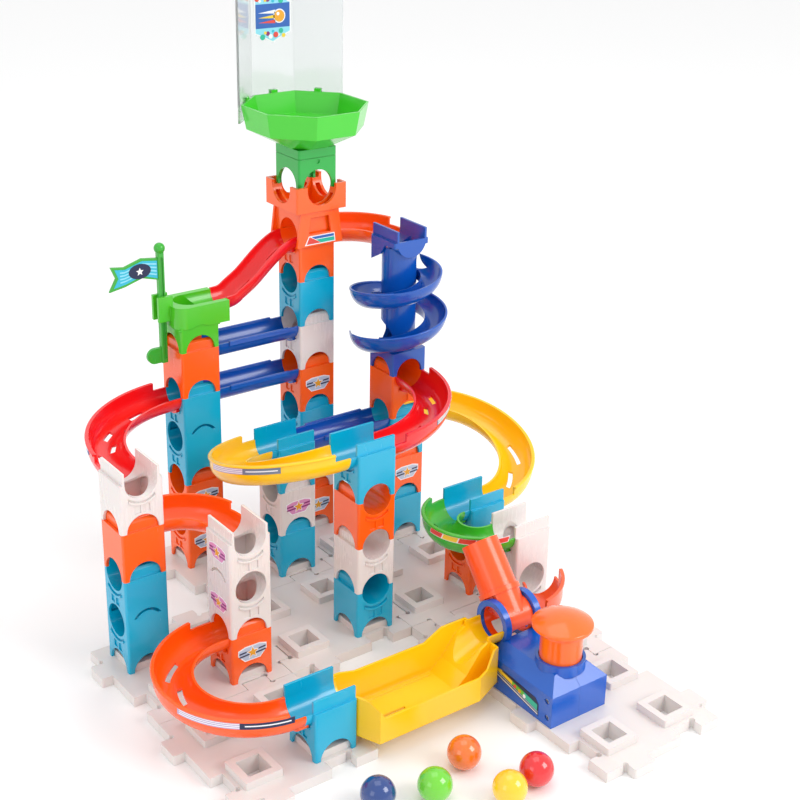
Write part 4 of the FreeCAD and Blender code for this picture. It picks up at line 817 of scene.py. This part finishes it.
# ------------------------------------------------------------------ flag, screen and launcher prints
def between(x: float, edge: Outline) -> float:
    """Height of an edge, given by points with falling x, at x."""
    for (x0, z0), (x1, z1) in zip(edge, edge[1:]):
        if x1 <= x <= x0:
            return z0 + (z1 - z0) * (x0 - x) / (x0 - x1)
    return edge[-1][1]


@dataclass
class FlagPrint:
    """Striped print with an oval on both sides of the swallow-tailed flag."""

    tip_reach: float = 38.5         # from the pole's middle to the flag's tip
    ball_rise: float = 6.1          # from the pole's top to the top of its ball
    sheet: float = 1.8
    top: Outline = ((-2.6, -6.0), (-14.0, -4.3), (-26.6, -8.2), (-34.2, -7.2))
    bottom: Outline = ((-2.6, -18.6), (-14.0, -14.9), (-26.6, -18.7), (-35.4, -20.2))
    notch: tuple[float, float] = (-31.6, -13.8)
    stripes: tuple[float, ...] = (0.14, 0.34, 0.54, 0.74)

    def build(self, palette: Palette) -> None:
        """Make both prints."""
        low, high = (Vector(corner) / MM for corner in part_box("flag_lever"))
        at = Vector((low.x + self.tip_reach, (low.y + high.y) / 2, high.z - self.ball_rise))
        for side, mirror in ((Side.FRONT, 1), (Side.BACK, -1)):
            patches = [Patch([(mirror * x, z) for x, z in p.outline], p.ink, p.layer)
                       for p in self._patches()]
            label = Label("flag_print_" + side.name.lower(), "flag", "flag_green", patches)
            label.build(palette, on_side(at + side.normal * self.sheet / 2, side))

    def _patches(self) -> list[Patch]:
        """Field, stripes, oval and star, seen from the front."""
        field_outline = list(self.top) + [self.notch] + list(reversed(self.bottom))
        patches = [Patch(field_outline, Ink.CYAN, 1)]
        for share in self.stripes:
            upper, lower = [], []
            for n in range(9):
                x = -3.2 - n * 3.4
                high, low = between(x, self.top), between(x, self.bottom)
                upper.append((x, high + (low - high) * share))
                lower.append((x, high + (low - high) * (share + 0.09)))
            patches.append(Patch(upper + lower[::-1], Ink.SKY, 2))
        patches.append(Patch(disc(5.3, (-15.8, -11.3), 1.55, 28), Ink.NAVY, 3))
        patches.append(Patch(star(2.9, centre=(-15.8, -11.5)), Ink.WHITE, 4))
        return patches


@dataclass
class ScreenBadge:
    """Shield with a rolling ball and scattered dots, stuck inside the clear screen."""

    width: float = 30.0
    height: float = 36.0
    board_inset: float = 1.5        # sheet thickness
    centre_below_top: float = 34.0

    def build(self, palette: Palette) -> None:
        """Make the badge and its dots."""
        low, high = (Vector(corner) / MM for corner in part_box("backboard"))
        at = Vector(((low.x + high.x) / 2, high.y - self.board_inset,
                     high.z - self.centre_below_top))
        w, h = self.width / 2, self.height / 2
        shield = [(-w, h), (-w, -h * 0.62), (-w * 0.55, -h * 0.78), (0, -h), (w * 0.55, -h * 0.78),
                  (w, -h * 0.62), (w, h)]
        inner = [(x * 0.94, y * 0.95) for x, y in shield]
        band = [(-w * 0.94, h * 0.52), (-w * 0.94, -h * 0.42), (w * 0.94, -h * 0.42),
                (w * 0.94, h * 0.52)]
        patches = [Patch(shield, Ink.WHITE, 1), Patch(inner, Ink.SKY, 2),
                   Patch(band, Ink.BLUE, 3)]
        for n, ink in enumerate((Ink.WHITE, Ink.YELLOW, Ink.CORAL)):
            y = 3.6 - 3.4 * n
            patches.append(Patch([(-w * 0.8, y - 0.4), (2.0, y - 1.3), (2.0, y + 1.3)], ink, 4))
        patches.append(Patch(disc(5.0, (5.4, 0.4)), Ink.WHITE, 4))
        patches.append(Patch(disc(4.2, (5.4, 0.4)), Ink.GOLD, 5))
        patches.append(Patch(disc(1.2, (4.2, 2.0)), Ink.WHITE, 6))
        rows = ((h * 0.72, -1), (-h * 0.66, 1))
        inks = (Ink.CORAL, Ink.WHITE, Ink.MINT, Ink.YELLOW, Ink.PLUM, Ink.WHITE, Ink.CYAN)
        for y, way in rows:
            for n in range(13):
                x = (-0.86 + 0.145 * n) * w
                lift = 1.9 * math.sin(2.3 * n) * way
                reach = 1.0 + 0.55 * math.sin(3.7 * n + y)
                if abs(x) < w * 0.6 or y > 0:
                    patches.append(Patch(disc(reach + 0.5, (x, y + lift), steps=12),
                                         inks[n % len(inks)], 4 + n % 2))
        label = Label("screen_badge", "run", "clear_screen", patches)
        label.build(palette, on_side(at, Side.FRONT))


@dataclass
class LauncherLabel:
    """Long label on the launcher's left side: an arrow and speed lines on navy."""

    cell: tuple[int, int] = (4, -3)
    half_width: float = 23.0
    middle: tuple[float, float] = (-34.5, 10.2)     # along Y from the cell, height above the plates
    length: float = 46.0

    def build(self, palette: Palette) -> None:
        """Make the label."""
        along, up = self.middle
        at = GRID.cell(*self.cell, 0) + Vector((-self.half_width, along, up))
        h = self.length / 2
        patches = [
            Patch([(-h, 6.8), (-h, 1.2), (h, -7.4), (h, 1.0), (h * 0.86, 4.4), (-h * 0.2, 6.6)],
                  Ink.NAVY, 1),
            Patch([(-h * 0.98, 2.0), (h * 0.98, -6.6), (h * 0.98, -5.9), (-h * 0.98, 2.7)],
                  Ink.WHITE, 2),
            Patch([(-h * 0.9, 3.6), (h * 0.98, -5.0), (h * 0.98, -4.4), (-h * 0.9, 4.2)],
                  Ink.SILVER, 2),
            Patch([(-h * 0.92, 5.8), (-h * 0.55, 2.9), (-h * 0.55, 6.6)], Ink.YELLOW, 3),
            Patch([(-h * 0.55, 3.6), (-h * 0.1, 1.4), (-h * 0.1, 4.2), (-h * 0.55, 5.8)],
                  Ink.YELLOW, 3),
            Patch([(-h * 0.1, 1.4), (h * 0.4, -1.1), (h * 0.4, 2.4), (-h * 0.1, 4.2)],
                  Ink.LIME, 3),
            Patch([(h * 0.4, -1.1), (h * 0.95, -3.8), (h * 0.95, 0.4), (h * 0.4, 2.4)],
                  Ink.MINT, 3)]
        for n, ink in enumerate((Ink.CORAL, Ink.GOLD, Ink.WHITE)):
            x = h * (0.02 + 0.2 * n)
            patches.append(Patch(disc(1.35, (x, 1.9 - 1.089 * n), steps=16), ink, 4))
        label = Label("launcher_label", "run", "launcher_blue", patches)
        label.build(palette, on_side(at, Side.LEFT))


@dataclass
class JunctionLabel:
    """Small label under the window of the junction's front and back plates."""

    cell: tuple[int, int, int] = (4, 2, 6)
    plate_out: float = 18.5
    middle_share: float = 0.93      # label's middle, in levels above the junction's feet

    def build(self, palette: Palette) -> None:
        """Make one label on each plate."""
        base = GRID.cell(*self.cell) + Vector((0, 0, self.middle_share * GRID.level_height))
        for side in (Side.FRONT, Side.BACK):
            patches = [
                Patch([(-13.0, -3.2), (13.0, -3.2), (12.2, 3.4), (-9.6, 3.4)], Ink.WHITE, 1),
                Patch([(-11.6, -2.5), (0.6, -2.5), (-8.6, 2.7), (-9.2, 2.7)], Ink.CORAL, 2),
                Patch([(0.6, -2.5), (12.2, -2.5), (11.9, 0.3), (-3.6, 0.3)], Ink.MINT, 2),
                Patch([(-4.4, 0.8), (11.8, 0.8), (11.5, 2.7), (-7.4, 2.7)], Ink.BLUE, 2)]
            label = Label("junction_label_" + side.name.lower(), "run", "block_orange", patches)
            label.build(palette, on_side(base + side.normal * self.plate_out, side))


# ------------------------------------------------------------------ the stage
@dataclass
class Studio:
    """Pale floor, soft lights and the camera, in metres and degrees; the lens is in mm."""

    eye: Vector = field(default_factory=lambda: Vector((-0.4798, -0.7395, 0.5597)))
    azimuth: float = -37.237
    elevation: float = 21.926
    roll: float = 1.406
    sensor: float = 36.0
    lens: float = 65.99
    shift: tuple[float, float] = (-0.0184, -0.0566)
    floor_half: float = 12.0

    def build(self) -> None:
        """Set up the whole stage."""
        self._floor()
        self._lights()
        self._camera()

    def _floor(self) -> None:
        """Seamless pale floor with a faint tooth."""
        mat = bpy.data.materials.new("Matt white paper")
        mat.use_nodes = True
        tree = mat.node_tree
        tree.nodes.clear()
        where = add(tree, "ShaderNodeTexCoord").outputs["Object"]
        tooth = add(tree, "ShaderNodeTexNoise", {"Scale": 1 / (1.5 * MM)}, {"Vector": where})
        bump = add(tree, "ShaderNodeBump", {"Strength": 0.1, "Distance": 0.02 * MM},
                   {"Height": tooth.outputs["Fac"]})
        shader = add(tree, "ShaderNodeBsdfPrincipled",
                     {"Base Color": linear("#F7F7F7"), "Roughness": 0.55},
                     {"Normal": bump.outputs["Normal"]})
        add(tree, "ShaderNodeOutputMaterial", links={"Surface": shader.outputs["BSDF"]})
        mesh = bpy.data.meshes.new("floor")
        half = self.floor_half
        mesh.from_pydata([(-half, -half, 0), (half, -half, 0), (half, half, 0), (-half, half, 0)],
                         [], [(0, 1, 2, 3)])
        mesh.materials.append(mat)
        floor = bpy.data.objects.new("floor", mesh)
        bpy.context.scene.collection.objects.link(floor)

    def _lights(self) -> None:
        """A broad key from the right, a weak one from the left, a top light and an even sky."""
        spots = [("key", (0.9, -1.5, 1.3), 1.0, 17.0), ("side", (-1.8, -0.5, 0.9), 0.9, 3.0),
                 ("top", (0.1, 0.2, 2.0), 1.2, 5.0)]
        for name, place, size, power in spots:
            light = bpy.data.lights.new(name, "AREA")
            light.shape = "SQUARE"
            light.size = size
            light.energy = power
            lamp = bpy.data.objects.new(name, light)
            bpy.context.scene.collection.objects.link(lamp)
            lamp.location = place
            aim = Vector((0, 0, 0.15)) - Vector(place)
            lamp.rotation_euler = aim.to_track_quat("-Z", "Y").to_euler()
        world = bpy.data.worlds.new("Even sky")
        world.use_nodes = True
        world.node_tree.nodes["Background"].inputs["Color"].default_value = linear("#FFFFFF")
        world.node_tree.nodes["Background"].inputs["Strength"].default_value = 1.0
        bpy.context.scene.world = world
        bpy.context.scene.view_settings.view_transform = "Standard"

    def _camera(self) -> None:
        """Camera at the product view's angle."""
        az, el, roll = (math.radians(v) for v in (self.azimuth, self.elevation, self.roll))
        forward = Vector((-math.sin(az) * math.cos(el), math.cos(az) * math.cos(el), -math.sin(el)))
        right = forward.cross(Vector((0, 0, 1))).normalized()
        up = right.cross(forward)
        right_r = right * math.cos(roll) + up * math.sin(roll)
        up_r = up * math.cos(roll) - right * math.sin(roll)
        data = bpy.data.cameras.new("camera")
        data.sensor_width = self.sensor
        data.lens = self.lens
        data.shift_x, data.shift_y = self.shift
        data.clip_start = 0.05
        camera = bpy.data.objects.new("camera", data)
        bpy.context.scene.collection.objects.link(camera)
        turn = Matrix((right_r, up_r, -forward)).transposed()
        camera.matrix_world = Matrix.Translation(self.eye) @ turn.to_4x4()
        bpy.context.scene.camera = camera


def dress_cad(palette: Palette) -> None:
    """Give every CAD node the finish of its slot."""
    slots = {part["node"]: part["material_slot"] for part in frame["record"]["subparts"]}
    for name, node in frame["nodes"].items():
        mat = palette.slot(slots[name])
        if not node.material_slots:
            node.data.materials.append(mat)
        for place in node.material_slots:
            place.material = mat
        LOG.info("%s: %s", name, mat.name)


def main() -> None:
    """Build the stage, dress the frame and add every piece."""
    logging.basicConfig(level=logging.INFO)
    palette = Palette()
    Studio().build()
    dress_cad(palette)
    Badges().build(palette)
    RolledRims().build(palette, BeadTree())
    RimBands().build(palette)
    FlagPrint().build(palette)
    ScreenBadge().build(palette)
    LauncherLabel().build(palette)
    JunctionLabel().build(palette)


if __name__ == "__main__":
    main()
